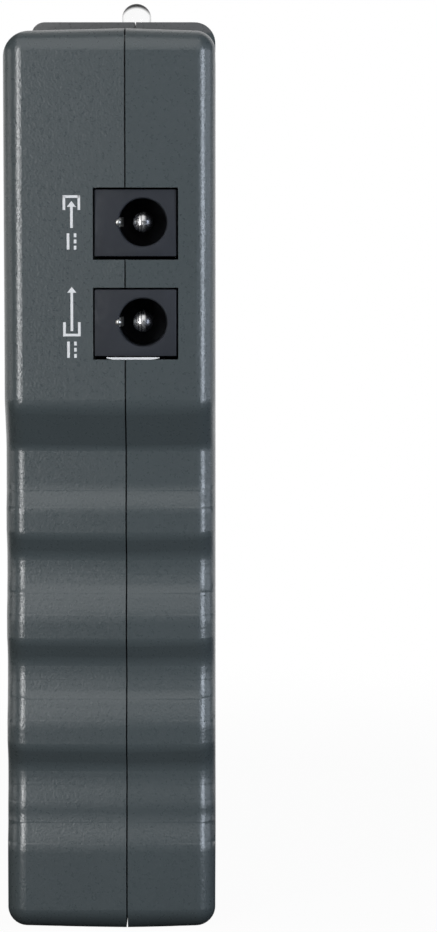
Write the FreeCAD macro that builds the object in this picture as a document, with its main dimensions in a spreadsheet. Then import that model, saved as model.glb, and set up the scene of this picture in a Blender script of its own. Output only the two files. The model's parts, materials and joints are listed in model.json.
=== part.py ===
import FreeCAD, Part
import math
import os
import re

import Sketcher

# Hand-held power over ethernet tester, standing on its foot.
# +X is the flank with the two power jacks, -Y the front with the key and lamps, +Z up.

doc = FreeCAD.newDocument("NetworkTester")

# Driving sizes in millimetres, each written once.
SIZES = [
    ("case_height", 124.85, "foot to the shoulders beside the crown"),
    ("case_depth", 29.0, "front face to back face"),
    ("front_depth", 16.7, "front face to the seam"),
    ("head_half_width", 36.0, "middle to the flank of the head"),
    ("head_waist_loss", 0.6, "how much each flank of the head draws in on its way down"),
    ("head_waist_foot", 3.6, "neck to the end of the drawing in of the head"),
    ("head_waist_head", 12.5, "top to the start of the drawing in of the head"),
    ("grip_half_width", 32.4, "middle to a ridge of the grip"),
    ("head_length", 50.65, "top to the neck"),
    ("neck_length", 7.4, "neck between the head and the grip"),
    ("neck_ease_low", 1.5, "round where the neck meets the grip"),
    ("neck_ease_high", 4.0, "round where the neck meets the head"),
    ("groove_depth", 1.6, "ridge to valley of a finger groove"),
    ("groove_start", 13.2, "neck to the upper edge of the first groove"),
    ("groove_pitch", 14.77, "groove to groove"),
    ("groove_run", 4.1, "height of the steep side of a groove"),
    ("groove_ease", 2.5, "rounds at both ends of the steep side of a groove"),
    ("ramp_upper_run", 2.6, "height of the upper gentle side of a groove"),
    ("ramp_lower_run", 3.2, "height of the lower gentle side of a groove"),
    ("ramp_ease", 0.8, "rounds at both ends of a gentle side"),
    ("ramp_upper", 5.05, "steep side to the upper gentle side"),
    ("ramp_lower", 7.95, "steep side to the lower gentle side"),
    ("ramp_foot", 10.5, "steep side to the lower gentle side of the last groove"),
    ("ramp_upper_rise", 0.6, "how far the upper gentle side comes out"),
    ("thumb_start", 6.5, "neck to the gentle side under it"),
    ("thumb_rise", 0.8, "how far the side under the neck comes out"),
    ("corner_top", 3.0, "corner between a flank and the top"),
    ("corner_foot", 3.0, "corner between a flank and the foot"),
    ("foot_flat", 0.25, "how much of the drafted foot is cut away, so that it stands flat"),
    ("draft_inset", 0.4, "how far the outline shrinks from the seam to either face"),
    ("edge_round", 2.7, "round along the front and the back edge"),
    ("brow_round", 3.8, "fuller round where the front meets the top"),
    ("wall", 2.0, "wall of the case"),
    ("front_wall", 4.0, "front wall, with the shallow panel field cut into it"),
    ("inner_round", 1.0, "corners of the hollow"),
    ("overshoot", 1.0, "how far a cutting form stands past what it cuts"),
    ("overlap", 0.5, "how far a joined form reaches into its neighbour"),
    ("seam_gap", 0.2, "open line between the two shells"),
    ("lip_inset", 0.95, "outer skin in front of the lip of the front shell"),
    ("lip_thickness", 0.75, "lip of the front shell"),
    ("lip_height", 1.2, "how far the lip stands past the seam"),
    ("fit_gap", 0.15, "clearance beside the lip and the battery door"),
    ("crown_half_width", 9.0, "middle to the side of the raised crown"),
    ("crown_rise", 1.75, "crown above the shoulders"),
    ("crown_front_inset", 2.7, "front face to the front of the crown"),
    ("crown_front_round", 1.9, "upper front corner of the crown"),
    ("crown_back_round", 3.0, "upper back corner of the crown"),
    ("crown_seam_shift", 0.85, "how far the seam steps back under the crown"),
    ("panel_half_width", 23.0, "middle to the side of the panel field"),
    ("panel_foot", 1.5, "board to the foot of the panel field"),
    ("panel_head", 7.5, "top to the head of the panel field"),
    ("panel_depth", 0.6, "depth of the panel field"),
    ("panel_round", 3.0, "corners of the panel field"),
    ("jack_hole_rise", 2.4, "seam to the bore of both power jacks"),
    ("dc_in_drop", 26.4, "top to the bore of the upper power jack"),
    ("dc_pitch", 13.65, "power jack to power jack"),
    ("jack_length", 14.0, "power jack along its bore"),
    ("jack_height", 11.0, "power jack above the board"),
    ("jack_width", 9.0, "power jack up the flank"),
    ("jack_bore_height", 6.5, "bore above the board"),
    ("jack_bore_radius", 3.13, "bore of a power jack"),
    ("jack_bore_depth", 9.6, "depth of the bore"),
    ("jack_recess", 0.25, "flank to the face of a power jack"),
    ("jack_pin_radius", 1.24, "centre pin"),
    ("jack_pin_recess", 0.7, "face to the tip of the centre pin"),
    ("jack_gap_front", 0.3, "cut-out beside a jack, on the front side"),
    ("jack_gap_back", 0.35, "cut-out beside a jack, on the back side"),
    ("jack_gap_top", 0.25, "cut-out above a jack"),
    ("jack_gap_foot", 0.6, "cut-out under a jack"),
    ("cutout_reach", 3.0, "cut-out of a jack, past the wall of the case"),
    ("pin_round", 0.62, "round at the tip of the centre pin"),
    ("spring_width", 1.5, "side contact in the bore"),
    ("spring_thickness", 0.35, "side contact in the bore"),
    ("spring_cover", 0.4, "wall of the jack in front of the side contact"),
    ("spring_crest", 5.0, "floor of the bore to the crest of the side contact"),
    ("spring_crest_length", 1.0, "crest of the side contact"),
    ("spring_rise", 0.45, "how far the crest stands into the bore"),
    ("strip_length", 7.3, "white strip under the lower jack, along the flank"),
    ("strip_thickness", 0.3, "white strip under the lower jack"),
    ("strip_depth", 6.0, "white strip, into the case"),
    ("strip_recess", 0.3, "flank to the white strip"),
    ("strip_start", 2.6, "front end of the white strip to the seam"),
    ("board_thickness", 1.6, "circuit board"),
    ("board_start", 5.6, "terminals of the battery to the board"),
    ("board_head_gap", 3.0, "top of the case to the board"),
    ("board_gap", 0.1, "wall to the board in the head"),
    ("board_grip_gap", 0.9, "wall to the board under the head"),
    ("board_neck_rise", 2.6, "neck to the wider part of the board"),
    ("board_foot", 1.0, "least height of the narrower part of the board"),
    ("board_notch", 9.2, "notch in each upper corner of the board"),
    ("lan_in_drop", 19.85, "top to the middle of the upper network jack"),
    ("lan_pitch", 19.0, "network jack to network jack"),
    ("lan_width", 16.0, "network jack up the flank"),
    ("lan_height", 13.5, "network jack above the board"),
    ("lan_length", 21.0, "network jack into the case"),
    ("lan_sheet", 0.35, "sheet of the shield"),
    ("lan_mouth_width", 11.9, "mouth for the plug"),
    ("lan_mouth_height", 6.9, "mouth for the plug"),
    ("lan_mouth_depth", 15.0, "mouth for the plug"),
    ("lan_mouth_rise", 4.6, "board to the mouth for the plug"),
    ("lan_key_width", 6.3, "slot for the latch of the plug"),
    ("lan_key_height", 2.4, "slot for the latch of the plug"),
    ("lan_key_depth", 11.0, "slot for the latch of the plug"),
    ("lan_insert_recess", 0.3, "shield to the face of the insert"),
    ("lan_gap", 0.3, "cut-out round a network jack"),
    ("lan_recess", 0.25, "flank to the face of a network jack"),
    ("contact_pitch", 1.02, "contact wire to contact wire"),
    ("contact_wire", 0.4, "contact wire"),
    ("contact_drop", 2.2, "how far a contact wire reaches into the mouth"),
    ("contact_start", 3.2, "face of the jack to the contact wires"),
    ("contact_flat", 1.4, "flat length of a contact wire"),
    ("led_radius", 2.12, "clear lamp on the crown"),
    ("led_flange", 2.6, "flange of the clear lamp"),
    ("led_flange_height", 1.0, "flange of the clear lamp"),
    ("led_rise", 0.87, "crown to the middle of the lamp's dome"),
    ("led_hole_gap", 0.1, "hole round the clear lamp"),
    ("lead_side", 0.5, "square lead of a lamp"),
    ("lead_place", 1.27, "middle to a lead of a lamp"),
    ("lead_drop", 4.0, "lamp to the bend of its leads"),
    ("small_led_radius", 1.5, "indicator lamp"),
    ("small_led_flange", 1.9, "flange of an indicator lamp"),
    ("small_led_flange_height", 0.9, "flange of an indicator lamp"),
    ("small_led_height", 5.3, "indicator lamp with its dome"),
    ("small_led_count", 4, "indicator lamps in a column"),
    ("small_led_column", 12.0, "middle to a column of indicator lamps"),
    ("small_led_drop", 16.5, "top to the upper indicator lamps"),
    ("small_led_pitch", 8.0, "indicator lamp to indicator lamp"),
    ("small_led_show", 0.45, "how far a dome stands out of the panel field"),
    ("lamp_holder_width", 4.4, "indicator lamp holder"),
    ("lamp_holder_past", 2.4, "outer lamp to the end of its holder"),
    ("key_radius", 5.0, "test key"),
    ("key_rise", 9.5, "foot of the board to the test key"),
    ("key_gap", 0.25, "hole round the test key"),
    ("key_show", 0.4, "how far the key stands out of the panel field"),
    ("key_flange", 6.2, "flange that holds the key in"),
    ("key_flange_thickness", 0.8, "flange that holds the key in"),
    ("key_stop_gap", 0.1, "front wall to the flange at rest"),
    ("key_travel", 0.5, "how far the key goes in"),
    ("plunger_radius", 1.75, "plunger of the switch under the key"),
    ("switch_side", 6.0, "switch under the key"),
    ("switch_height", 3.5, "switch under the key"),
    ("plunger_gap", 0.12, "hole round the plunger"),
    ("plunger_spare", 0.25, "room behind the plunger when it is pressed in"),
    ("battery_width", 26.5, "block battery"),
    ("battery_depth", 17.5, "block battery"),
    ("battery_length", 46.5, "block battery without its terminals"),
    ("battery_low", 7.2, "foot of the battery"),
    ("battery_round", 2.5, "long edges of the battery"),
    ("terminal_height", 2.2, "terminals of the battery"),
    ("pad_thickness", 1.3, "foam between battery and door"),
    ("pad_inset", 8.0, "end of the battery to the foam"),
    ("battery_rib", 1.5, "two ribs in front of the battery"),
    ("bay_gap", 0.4, "battery to each side of its bay"),
    ("bay_wall", 1.5, "wall of the battery bay"),
    ("bay_foot_gap", 0.2, "battery to the foot of its bay"),
    ("bay_short", 2.0, "front of the battery to the front edge of its bay"),
    ("bay_open", 6.0, "head of the battery to the end of its bay"),
    ("door_opening_above", 2.5, "head of the battery to the head of the opening"),
    ("door_half_width", 17.0, "battery door"),
    ("door_low", 6.0, "foot of the battery door"),
    ("door_high", 66.0, "head of the battery door"),
    ("door_thickness", 1.2, "battery door"),
    ("door_round", 2.0, "corners of the battery door"),
    ("door_post_height", 4.0, "post for the screw of the battery door"),
    ("door_hole_depth", 3.4, "screw hole in that post"),
    ("door_screw_height", 62.0, "screw of the battery door"),
    ("screw_top_drop", 6.3, "top to the upper case screws"),
    ("screw_top_inset", 7.0, "flank to an upper case screw"),
    ("screw_foot_height", 9.5, "lower case screws"),
    ("screw_foot_inset", 7.4, "ridge of the grip to a lower case screw"),
    ("screw_shank", 1.4, "core of a case screw"),
    ("screw_hole_gap", 0.05, "hole that a screw bites in"),
    ("screw_clearance", 0.3, "hole that a screw passes through"),
    ("screw_hole_floor", 1.0, "front wall to the end of a screw hole"),
    ("screw_head", 2.6, "head of a case screw"),
    ("screw_head_height", 1.8, "head of a case screw"),
    ("screw_length", 14.0, "case screw under its head"),
    ("screw_well", 3.1, "well over a case screw"),
    ("screw_well_depth", 3.0, "well over a case screw"),
    ("boss_radius", 3.9, "boss round a case screw"),
    ("board_screw_side", 17.5, "middle to a lower board screw"),
    ("board_screw_inset", 6.6, "notch of the board to an upper board screw"),
    ("board_screw_rise", 5.5, "foot of the board to its lower screws"),
    ("board_screw_drop", 3.5, "head of the board to its upper screws"),
    ("board_screw_shank", 1.1, "core of a board screw"),
    ("board_screw_head", 2.1, "head of a board screw"),
    ("post_radius", 2.8, "post under the board"),
    ("key_bevel", 0.6, "bevel round the front of the key"),
    ("plunger_length", 2.1, "plunger of the switch under the key"),
    ("plunger_show", 1.5, "how far the plunger stands out of its switch"),
    ("plus_radius", 2.8, "smaller terminal of the battery"),
    ("minus_radius", 4.2, "larger terminal of the battery"),
    ("terminal_side", 6.35, "middle to a terminal of the battery"),
    ("rectifier_side", -12.5, "left side of the bridge rectifiers"),
    ("magnetics_gap", 1.65, "network jacks to the signal transformer block"),
    ("magnetics_width", 14.0, "signal transformer block"),
    ("magnetics_drop", 22.5, "top to the foot of the signal transformer block"),
    ("magnetics_length", 12.0, "signal transformer block"),
    ("magnetics_height", 5.8, "signal transformer block"),
    ("chip_side", -2.5, "left side of the controller"),
    ("chip_width", 6.0, "controller"),
    ("chip_rise", 4.5, "foot of the board to the controller"),
    ("chip_length", 8.0, "controller"),
    ("chip_height", 1.8, "controller"),
    ("rectifier_width", 8.2, "bridge rectifier"),
    ("rectifier_rise", 3.7, "foot of the board to the lower bridge rectifier"),
    ("rectifier_pitch", 6.4, "bridge rectifier to bridge rectifier"),
    ("rectifier_length", 5.8, "bridge rectifier"),
    ("rectifier_height", 3.3, "bridge rectifier"),
    ("transformer_gap", 0.85, "signal transformer block to the supply transformer"),
    ("transformer_side", 11.0, "supply transformer"),
    ("transformer_drop", 20.8, "top to the foot of the supply transformer"),
    ("transformer_height", 10.0, "supply transformer"),
    ("transformer_foot_height", 2.5, "foot of the supply transformer"),
    ("transformer_step", 1.0, "foot of the supply transformer past its core"),
    ("inductor_x", 10.0, "power inductor"),
    ("inductor_rise", 13.0, "foot of the board to the power inductor"),
    ("inductor_radius", 5.8, "power inductor"),
    ("inductor_height", 7.0, "power inductor"),
    ("inductor_flange", 1.4, "flange of the power inductor"),
    ("inductor_waist", 4.6, "radius of the power inductor between its flanges"),
    ("inductor_slope", 0.4, "flange to waist of the power inductor"),
    ("capacitor_x", 0.5, "bulk capacitor"),
    ("capacitor_rise", 15.7, "foot of the board to the bulk capacitor"),
    ("capacitor_radius", 2.4, "bulk capacitor"),
    ("capacitor_height", 9.0, "bulk capacitor"),
    ("capacitor_bevel", 0.5, "bevel round the bulk capacitor"),
    ("holder_half_width", 12.0, "battery holder"),
    ("holder_gap", 1.0, "battery holder to the post of the door screw"),
    ("holder_overlap", 3.0, "how far the battery holder reaches over the board"),
    ("clip_height", 1.4, "clips under the battery holder"),
    ("clip_gap", 0.1, "terminals of the battery to the clips"),
    ("clip_radius", 3.6, "clips under the battery holder"),
    ("board_screw_head_height", 1.3, "head of a board screw"),
    ("board_screw_length", 5.5, "board screw under its head"),
    ("door_well_depth", 0.7, "well over the door screw"),
    ("door_screw_head_height", 0.6, "head of the door screw"),
    ("door_screw_length", 4.6, "door screw under its head"),
]

# Places that follow from the sizes above.
PLACES = [
    ("front_face", "-case_depth / 2"),
    ("back_face", "case_depth / 2"),
    ("seam", "front_face + front_depth"),
    ("front_rim", "seam - seam_gap / 2"),
    ("back_rim", "seam + seam_gap / 2"),
    ("front_inner", "front_face + front_wall"),
    ("back_inner", "back_face - wall"),
    ("panel_floor", "front_face + panel_depth"),
    ("top_inner", "case_height - wall"),
    ("crown_top", "case_height + crown_rise"),
    ("crown_seam", "seam + crown_seam_shift"),
    ("neck_high", "case_height - head_length"),
    ("neck_low", "neck_high - neck_length"),
    ("groove_first", "neck_low - groove_start"),
    ("thumb_ramp", "neck_low - thumb_start"),
    ("head_waist_low", "neck_high + head_waist_foot"),
    ("head_waist_high", "case_height - head_waist_head"),
    ("jack_hole_place", "seam + jack_hole_rise"),
    ("dc_in_height", "case_height - dc_in_drop"),
    ("dc_out_height", "dc_in_height - dc_pitch"),
    ("lan_in_height", "case_height - lan_in_drop"),
    ("lan_out_height", "lan_in_height - lan_pitch"),
    ("board_rear", "jack_hole_place - jack_bore_height"),
    ("board_front", "board_rear - board_thickness"),
    ("head_flank", "head_half_width - head_waist_loss"),
    ("jack_face", "head_flank - jack_recess"),
    ("jack_end", "jack_face - jack_length"),
    ("jack_rear", "board_rear + jack_height"),
    ("lan_face", "-(head_flank - lan_recess)"),
    ("lan_end", "lan_face + lan_length"),
    ("lan_rear", "board_rear + lan_height"),
    ("lan_mouth_foot", "board_rear + lan_mouth_rise"),
    ("lan_mouth_head", "lan_mouth_foot + lan_mouth_height"),
    ("battery_rear", "back_inner - pad_thickness"),
    ("battery_front", "battery_rear - battery_depth"),
    ("battery_high", "battery_low + battery_length"),
    ("terminal_high", "battery_high + terminal_height"),
    ("board_low", "terminal_high + board_start"),
    ("board_high", "case_height - board_head_gap"),
    ("board_head_side", "head_flank - wall - board_gap"),
    ("board_grip_side", "grip_half_width - groove_depth - wall - board_grip_gap"),
    ("board_neck", "max(neck_high + board_neck_rise; board_low + board_foot)"),
    ("board_notch_side", "board_head_side - board_notch"),
    ("board_screw_high_side", "board_notch_side - board_screw_inset"),
    ("board_screw_low", "board_low + board_screw_rise"),
    ("board_screw_high", "board_high - board_screw_drop"),
    ("panel_low", "board_low - panel_foot"),
    ("panel_high", "case_height - panel_head"),
    ("key_height", "board_low + key_rise"),
    ("screw_top_height", "case_height - screw_top_drop"),
    ("screw_top_side", "head_half_width - screw_top_inset"),
    ("screw_foot_side", "grip_half_width - screw_foot_inset"),
    ("small_led_top", "case_height - small_led_drop"),
    ("magnetics_side", "lan_end + magnetics_gap"),
    ("transformer_left", "magnetics_side + magnetics_width + transformer_gap"),
    ("transformer_low", "case_height - transformer_drop"),
    ("led_middle", "crown_top + led_rise"),
    ("led_foot", "top_inner - led_flange_height"),
    ("key_front", "panel_floor - key_show"),
    ("key_flange_front", "front_inner + key_stop_gap"),
    ("key_flange_back", "key_flange_front + key_flange_thickness"),
    ("switch_front", "board_front - switch_height"),
    ("plunger_front", "switch_front - plunger_show"),
    ("holder_low", "terminal_high + clip_gap + clip_height"),
    ("holder_rear", "back_inner - door_post_height - holder_gap"),
    ("door_front", "back_face - door_thickness"),
    ("screw_seat", "back_face - screw_well_depth"),
    ("small_led_tip", "panel_floor - small_led_show"),
    ("small_led_foot", "small_led_tip + small_led_height"),
    ("small_led_middle", "small_led_top - small_led_pitch * (small_led_count - 1) / 2"),
    ("small_led_reach", "small_led_pitch * (small_led_count - 1) / 2 + lamp_holder_past"),
    ("pin_length", "jack_bore_depth - jack_pin_recess"),
    ("pin_round_step", "pin_round * (1 - cos(45deg))"),
    ("bore_floor", "jack_face - jack_bore_depth"),
    ("spring_low", "jack_hole_place - jack_bore_radius - spring_thickness"),
    ("spring_high", "jack_hole_place - jack_bore_radius"),
    ("battery_middle", "(battery_front + battery_rear) / 2"),
]

SIZE_NAMES = [row[0] for row in SIZES]
PLACE_NAMES = [row[0] for row in PLACES]


def linked(text, inside_places=False):
    """Turn the words of a formula into references to the two sheets."""
    def reference(match):
        word = match.group(0)
        if word in SIZE_NAMES:
            return "Sizes." + word
        if word in PLACE_NAMES:
            return word if inside_places else "Places." + word
        return word
    return re.sub(r"[a-z][a-z_]*", reference, text)


sizes = doc.addObject("Spreadsheet::Sheet", "Sizes")
for row, (alias, value, note) in enumerate(SIZES, 1):
    sizes.set(f"A{row}", note)
    sizes.set(f"B{row}", str(value))
    sizes.setAlias(f"B{row}", alias)
places = doc.addObject("Spreadsheet::Sheet", "Places")
for row, (alias, formula) in enumerate(PLACES, 1):
    places.set(f"A{row}", alias.replace("_", " "))
    places.set(f"B{row}", "=" + linked(formula, inside_places=True))
    places.setAlias(f"B{row}", alias)
doc.recompute()


class Values:
    """The numbers of both sheets, for the shapes that are worked out in code."""


v = Values()
for alias in SIZE_NAMES:
    setattr(v, alias, float(sizes.get(alias)))
for alias in PLACE_NAMES:
    setattr(v, alias, float(places.get(alias)))

NODES = []


def bind(item, name, text):
    """Tie one property of an object to a formula on the sheets."""
    item.setExpression(name, linked(str(text)))


def place(item, x, y, z):
    """Tie the place of an object to three formulas."""
    for axis, text in zip("xyz", (x, y, z)):
        bind(item, "Placement.Base." + axis, text)
    return item


def box(name, xs, ys, zs):
    """Block between two values on each axis."""
    item = doc.addObject("Part::Box", name)
    for prop, (low, high) in (("Length", xs), ("Width", ys), ("Height", zs)):
        bind(item, prop, f"({high}) - ({low})")
    return place(item, xs[0], ys[0], zs[0])


TURNS = {
    "x": FreeCAD.Rotation(FreeCAD.Vector(0, 0, 1), FreeCAD.Vector(1, 0, 0)),
    "y": FreeCAD.Rotation(FreeCAD.Vector(0, 0, 1), FreeCAD.Vector(0, 1, 0)),
    "z": FreeCAD.Rotation(),
}


def rod(name, axis, radius, start, length):
    """Round bar that starts at a point and runs along +axis."""
    item = doc.addObject("Part::Cylinder", name)
    item.Placement = FreeCAD.Placement(FreeCAD.Vector(), TURNS[axis])
    bind(item, "Radius", radius)
    bind(item, "Height", length)
    return place(item, *start)


def ball(name, radius, centre):
    """Full ball round a point."""
    item = doc.addObject("Part::Sphere", name)
    bind(item, "Radius", radius)
    return place(item, *centre)


def fuse(name, items):
    """Union of several objects."""
    item = doc.addObject("Part::MultiFuse", name)
    item.Shapes = items
    item.Refine = True
    return item


def cut(name, base, tools):
    """One object less several others."""
    item = doc.addObject("Part::Cut", name)
    item.Base = base
    item.Tool = tools[0] if len(tools) == 1 else fuse(name + "_tools", tools)
    item.Refine = True
    return item


def group(name, items):
    """Separate solids kept together in one node."""
    item = doc.addObject("Part::Compound", name)
    item.Links = items
    return item


def rounded(name, base, radius, choose):
    """Round the edges of an object that a test picks out."""
    doc.recompute()
    item = doc.addObject("Part::Fillet", name)
    item.Base = base
    size = float(getattr(v, radius))
    item.Edges = [(n, size, size) for n, edge in enumerate(base.Shape.Edges, 1) if choose(edge)]
    return item


def node(name, item):
    """Name an object as a finished piece."""
    item.Label = name
    NODES.append(item)
    return item


def feature(name, shape):
    """A shape that was worked out in code, as an object of its own."""
    item = doc.addObject("Part::Feature", name)
    item.Shape = shape
    item.Placement = FreeCAD.Placement()
    return item


def body_sketch(name, plane, points):
    """A body with a closed sketch whose corners are tied to formulas."""
    body = doc.addObject("PartDesign::Body", name)
    sketch = body.newObject("Sketcher::SketchObject", name + "_sketch")
    origin = [face for face in body.Origin.OriginFeatures if face.Role == plane][0]
    sketch.AttachmentSupport = [(origin, "")]
    sketch.MapMode = "FlatFace"
    corners = [FreeCAD.Vector(number(a), number(b), 0) for a, b in points]
    for i, corner in enumerate(corners):
        sketch.addGeometry(Part.LineSegment(corner, corners[(i + 1) % len(corners)]), False)
    for i in range(len(corners)):
        after = (i + 1) % len(corners)
        sketch.addConstraint(Sketcher.Constraint("Coincident", i, 2, after, 1))
    for i, (a, b) in enumerate(points):
        for kind, text, value in (("DistanceX", a, corners[i].x), ("DistanceY", b, corners[i].y)):
            index = sketch.addConstraint(Sketcher.Constraint(kind, -1, 1, i, 1, value))
            sketch.setExpression(f"Constraints[{index}]", linked(str(text)))
    return body, sketch


scratch = doc.addObject("Spreadsheet::Sheet", "Checks")
scratch_rows = []


def number(text):
    """The value of a formula, read through a sheet."""
    scratch_rows.append(text)
    cell = f"A{len(scratch_rows)}"
    scratch.set(cell, "=" + linked(str(text)))
    scratch.recompute()
    return float(scratch.get(cell))


def turned(name, profile, axis, centre):
    """Body turned from a profile of (radius, height) corners, set along an axis."""
    body, sketch = body_sketch(name, "XZ_Plane", profile)
    turn = body.newObject("PartDesign::Revolution", name + "_turn")
    turn.Profile = sketch
    turn.ReferenceAxis = (sketch, ["V_Axis"])
    turn.Angle = 360
    body.Placement = FreeCAD.Placement(FreeCAD.Vector(), TURNS[axis])
    return place(body, *centre)


def padded(name, plane, points, length, centre):
    """Body padded from a profile of corners."""
    body, sketch = body_sketch(name, plane, points)
    pad = body.newObject("PartDesign::Pad", name + "_pad")
    pad.Profile = sketch
    bind(pad, "Length", length)
    return place(body, *centre)


# The outline of the case, seen from the front.

def s_curve(low, high, x_low, x_high, ease_low=0.0, ease_high=0.0):
    """Stations of two arcs that lead from one upright line to another.

    Each station is a point and the outward normal there, as (x, z, nx, nz). With rounds
    given for both ends, a straight slope joins them. Without, the arcs meet in the middle.
    """
    run = high - low
    shift = abs(x_high - x_low)
    if ease_low:
        both = ease_low + ease_high
        reach = math.hypot(both - shift, run)
        angle = math.atan2(run, both - shift) - math.acos(both / reach)
    else:
        angle = 2 * math.atan2(shift, run)
        ease_low = ease_high = run / (2 * math.sin(angle))
    sign = 1 if x_high > x_low else -1
    stations = []
    for part in (0.5, 1.0):
        a = angle * part
        stations.append((x_low + sign * ease_low * (1 - math.cos(a)), low + ease_low * math.sin(a),
                         math.cos(a), -sign * math.sin(a)))
    for part in (1.0, 0.5, 0.0):
        a = angle * part
        stations.append((x_high - sign * ease_high * (1 - math.cos(a)),
                         high - ease_high * math.sin(a), math.cos(a), -sign * math.sin(a)))
    return stations


def corner(cx, cz, radius, start, end):
    """Stations of a quarter round."""
    stations = []
    for degrees in (start, (start + end) / 2, end):
        a = math.radians(degrees)
        stations.append((cx + radius * math.cos(a), cz + radius * math.sin(a),
                         math.cos(a), math.sin(a)))
    return stations


def step_at(middle, run, x_low, x_high, ease):
    """One step of the flank round a height, as (low, high, x low, x high, rounds)."""
    return middle - run / 2, middle + run / 2, x_low, x_high, ease, ease


def flank_steps():
    """Every step of the flank from the foot up, as (low, high, x low, x high, rounds)."""
    ridge = v.grip_half_width
    valley = ridge - v.groove_depth
    middle = valley + v.ramp_upper_rise
    steps = []
    room = v.groove_first - v.corner_foot - v.ramp_foot - v.ramp_lower_run / 2
    last = int(room / v.groove_pitch)
    for n in range(last, -1, -1):
        edge = v.groove_first - n * v.groove_pitch
        lower = edge - (v.ramp_foot if n == last else v.ramp_lower)
        upper = edge - v.ramp_upper
        steps.append(step_at(lower, v.ramp_lower_run, ridge, middle, v.ramp_ease))
        steps.append(step_at(upper, v.ramp_upper_run, middle, valley, v.ramp_ease))
        steps.append(step_at(edge, v.groove_run, valley, ridge, v.groove_ease))
    thumb = ridge - v.thumb_rise
    steps.append(step_at(v.thumb_ramp, v.ramp_upper_run, ridge, thumb, v.ramp_ease))
    steps.append((v.neck_low, v.neck_high, thumb, v.head_flank, v.neck_ease_low,
                  v.neck_ease_high))
    steps.append((v.head_waist_low, v.head_waist_high, v.head_flank, v.head_half_width))
    return steps


def right_side():
    """Stations of the +X half of the outline as ("line" or "arc", stations)."""
    runs = [("arc", corner(v.grip_half_width - v.corner_foot, v.corner_foot - v.foot_flat,
                           v.corner_foot, -90, 0))]
    for step in flank_steps():
        stations = s_curve(*step)
        start = (step[2], step[0], 1.0, 0.0)
        runs.append(("arc", [start, *stations[:2]]))
        runs.append(("arc", stations[2:]))
    runs.append(("arc", corner(v.head_half_width - v.corner_top, v.case_height - v.corner_top,
                               v.corner_top, 0, 90)))
    return runs


def outline(inset, y):
    """Closed outline of the case, drawn in by inset, in the plane at y."""
    right = right_side()
    left = [(kind, [(-x, z, -nx, nz) for x, z, nx, nz in reversed(stations)])
            for kind, stations in reversed(right)]
    edges = []
    last = None
    first = None
    for kind, stations in right + left:
        points = [FreeCAD.Vector(x - nx * inset, y, z - nz * inset) for x, z, nx, nz in stations]
        if last is not None and last.distanceToPoint(points[0]) > 1e-6:
            edges.append(Part.makeLine(last, points[0]))
        edges.append(Part.Arc(*points).toShape())
        first = first or points[0]
        last = points[-1]
    edges.append(Part.makeLine(last, first))
    return Part.Wire(edges)


def drafted(rim, face):
    """Solid between the outline at the rim and the smaller outline at a face."""
    return Part.makeLoft([outline(0.0, rim), outline(v.draft_inset, face)], True, True)


def at_level(edge, y):
    """Whether an edge lies in the plane at y."""
    return abs(edge.BoundBox.YMin - y) < 1e-4 and abs(edge.BoundBox.YMax - y) < 1e-4


def half_case(rim, face):
    """Outer form of one shell, with its round edge and its flat foot."""
    solid = drafted(rim, face)
    edges = [edge for edge in solid.Edges if at_level(edge, face)]
    under = block((-v.head_half_width, v.head_half_width), (rim - v.case_depth, rim + v.case_depth),
                  (-v.foot_flat - v.overshoot, 0))
    return solid.makeFillet(v.edge_round, edges).cut(under)


def block(xs, ys, zs):
    """Plain block as a shape."""
    corner_point = FreeCAD.Vector(min(xs), min(ys), min(zs))
    return Part.makeBox(abs(xs[1] - xs[0]), abs(ys[1] - ys[0]), abs(zs[1] - zs[0]), corner_point)


def bar(radius, x, z, y_from, y_to):
    """Round bar along Y as a shape."""
    return Part.makeCylinder(radius, y_to - y_from, FreeCAD.Vector(x, y_from, z),
                             FreeCAD.Vector(0, 1, 0))


def cavity(inset, y_from, y_to):
    """The hollow of the case, with plain walls behind the finger grooves."""
    head = v.head_flank - inset
    grip = v.grip_half_width - v.groove_depth - inset
    top = v.case_height - inset
    half = [(0, inset), (grip, inset), (grip, v.neck_low), (head, v.neck_high), (head, top), (0, top)]
    points = half + [(-x, z) for x, z in reversed(half[1:-1])]
    corners = [FreeCAD.Vector(x, y_from, z) for x, z in points]
    face = Part.Face(Part.makePolygon(corners + corners[:1]))
    solid = face.extrude(FreeCAD.Vector(0, y_to - y_from, 0))
    depth_edges = [edge for edge in solid.Edges if abs(edge.tangentAt(edge.FirstParameter).y) > 0.99]
    return solid.makeFillet(v.inner_round, depth_edges)


def crown(y_from, y_to):
    """Raised crown between two planes, rounded at its ends where they are its own."""
    front = v.front_face + v.crown_front_inset
    back = v.back_face
    top = v.crown_top
    front_round = v.crown_front_round
    back_round = v.crown_back_round
    middle = 1 - math.sqrt(0.5)
    low_front = FreeCAD.Vector(0, front, v.top_inner)
    low_back = FreeCAD.Vector(0, back, v.top_inner)
    front_arc = [FreeCAD.Vector(0, front, top - front_round),
                 FreeCAD.Vector(0, front + front_round * middle, top - front_round * middle),
                 FreeCAD.Vector(0, front + front_round, top)]
    back_arc = [FreeCAD.Vector(0, back - back_round, top),
                FreeCAD.Vector(0, back - back_round * middle, top - back_round * middle),
                FreeCAD.Vector(0, back, top - back_round)]
    profile = [
        Part.makeLine(low_front, front_arc[0]),
        Part.Arc(*front_arc).toShape(),
        Part.makeLine(front_arc[2], back_arc[0]),
        Part.Arc(*back_arc).toShape(),
        Part.makeLine(back_arc[2], low_back),
        Part.makeLine(low_back, low_front),
    ]
    face = Part.Face(Part.Wire(profile))
    face.translate(FreeCAD.Vector(-v.crown_half_width, 0, 0))
    solid = face.extrude(FreeCAD.Vector(2 * v.crown_half_width, 0, 0))
    slice_box = block((-2 * v.crown_half_width, 2 * v.crown_half_width), (y_from, y_to),
                      (v.top_inner, v.crown_top + v.overshoot))
    return solid.common(slice_box)


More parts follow.
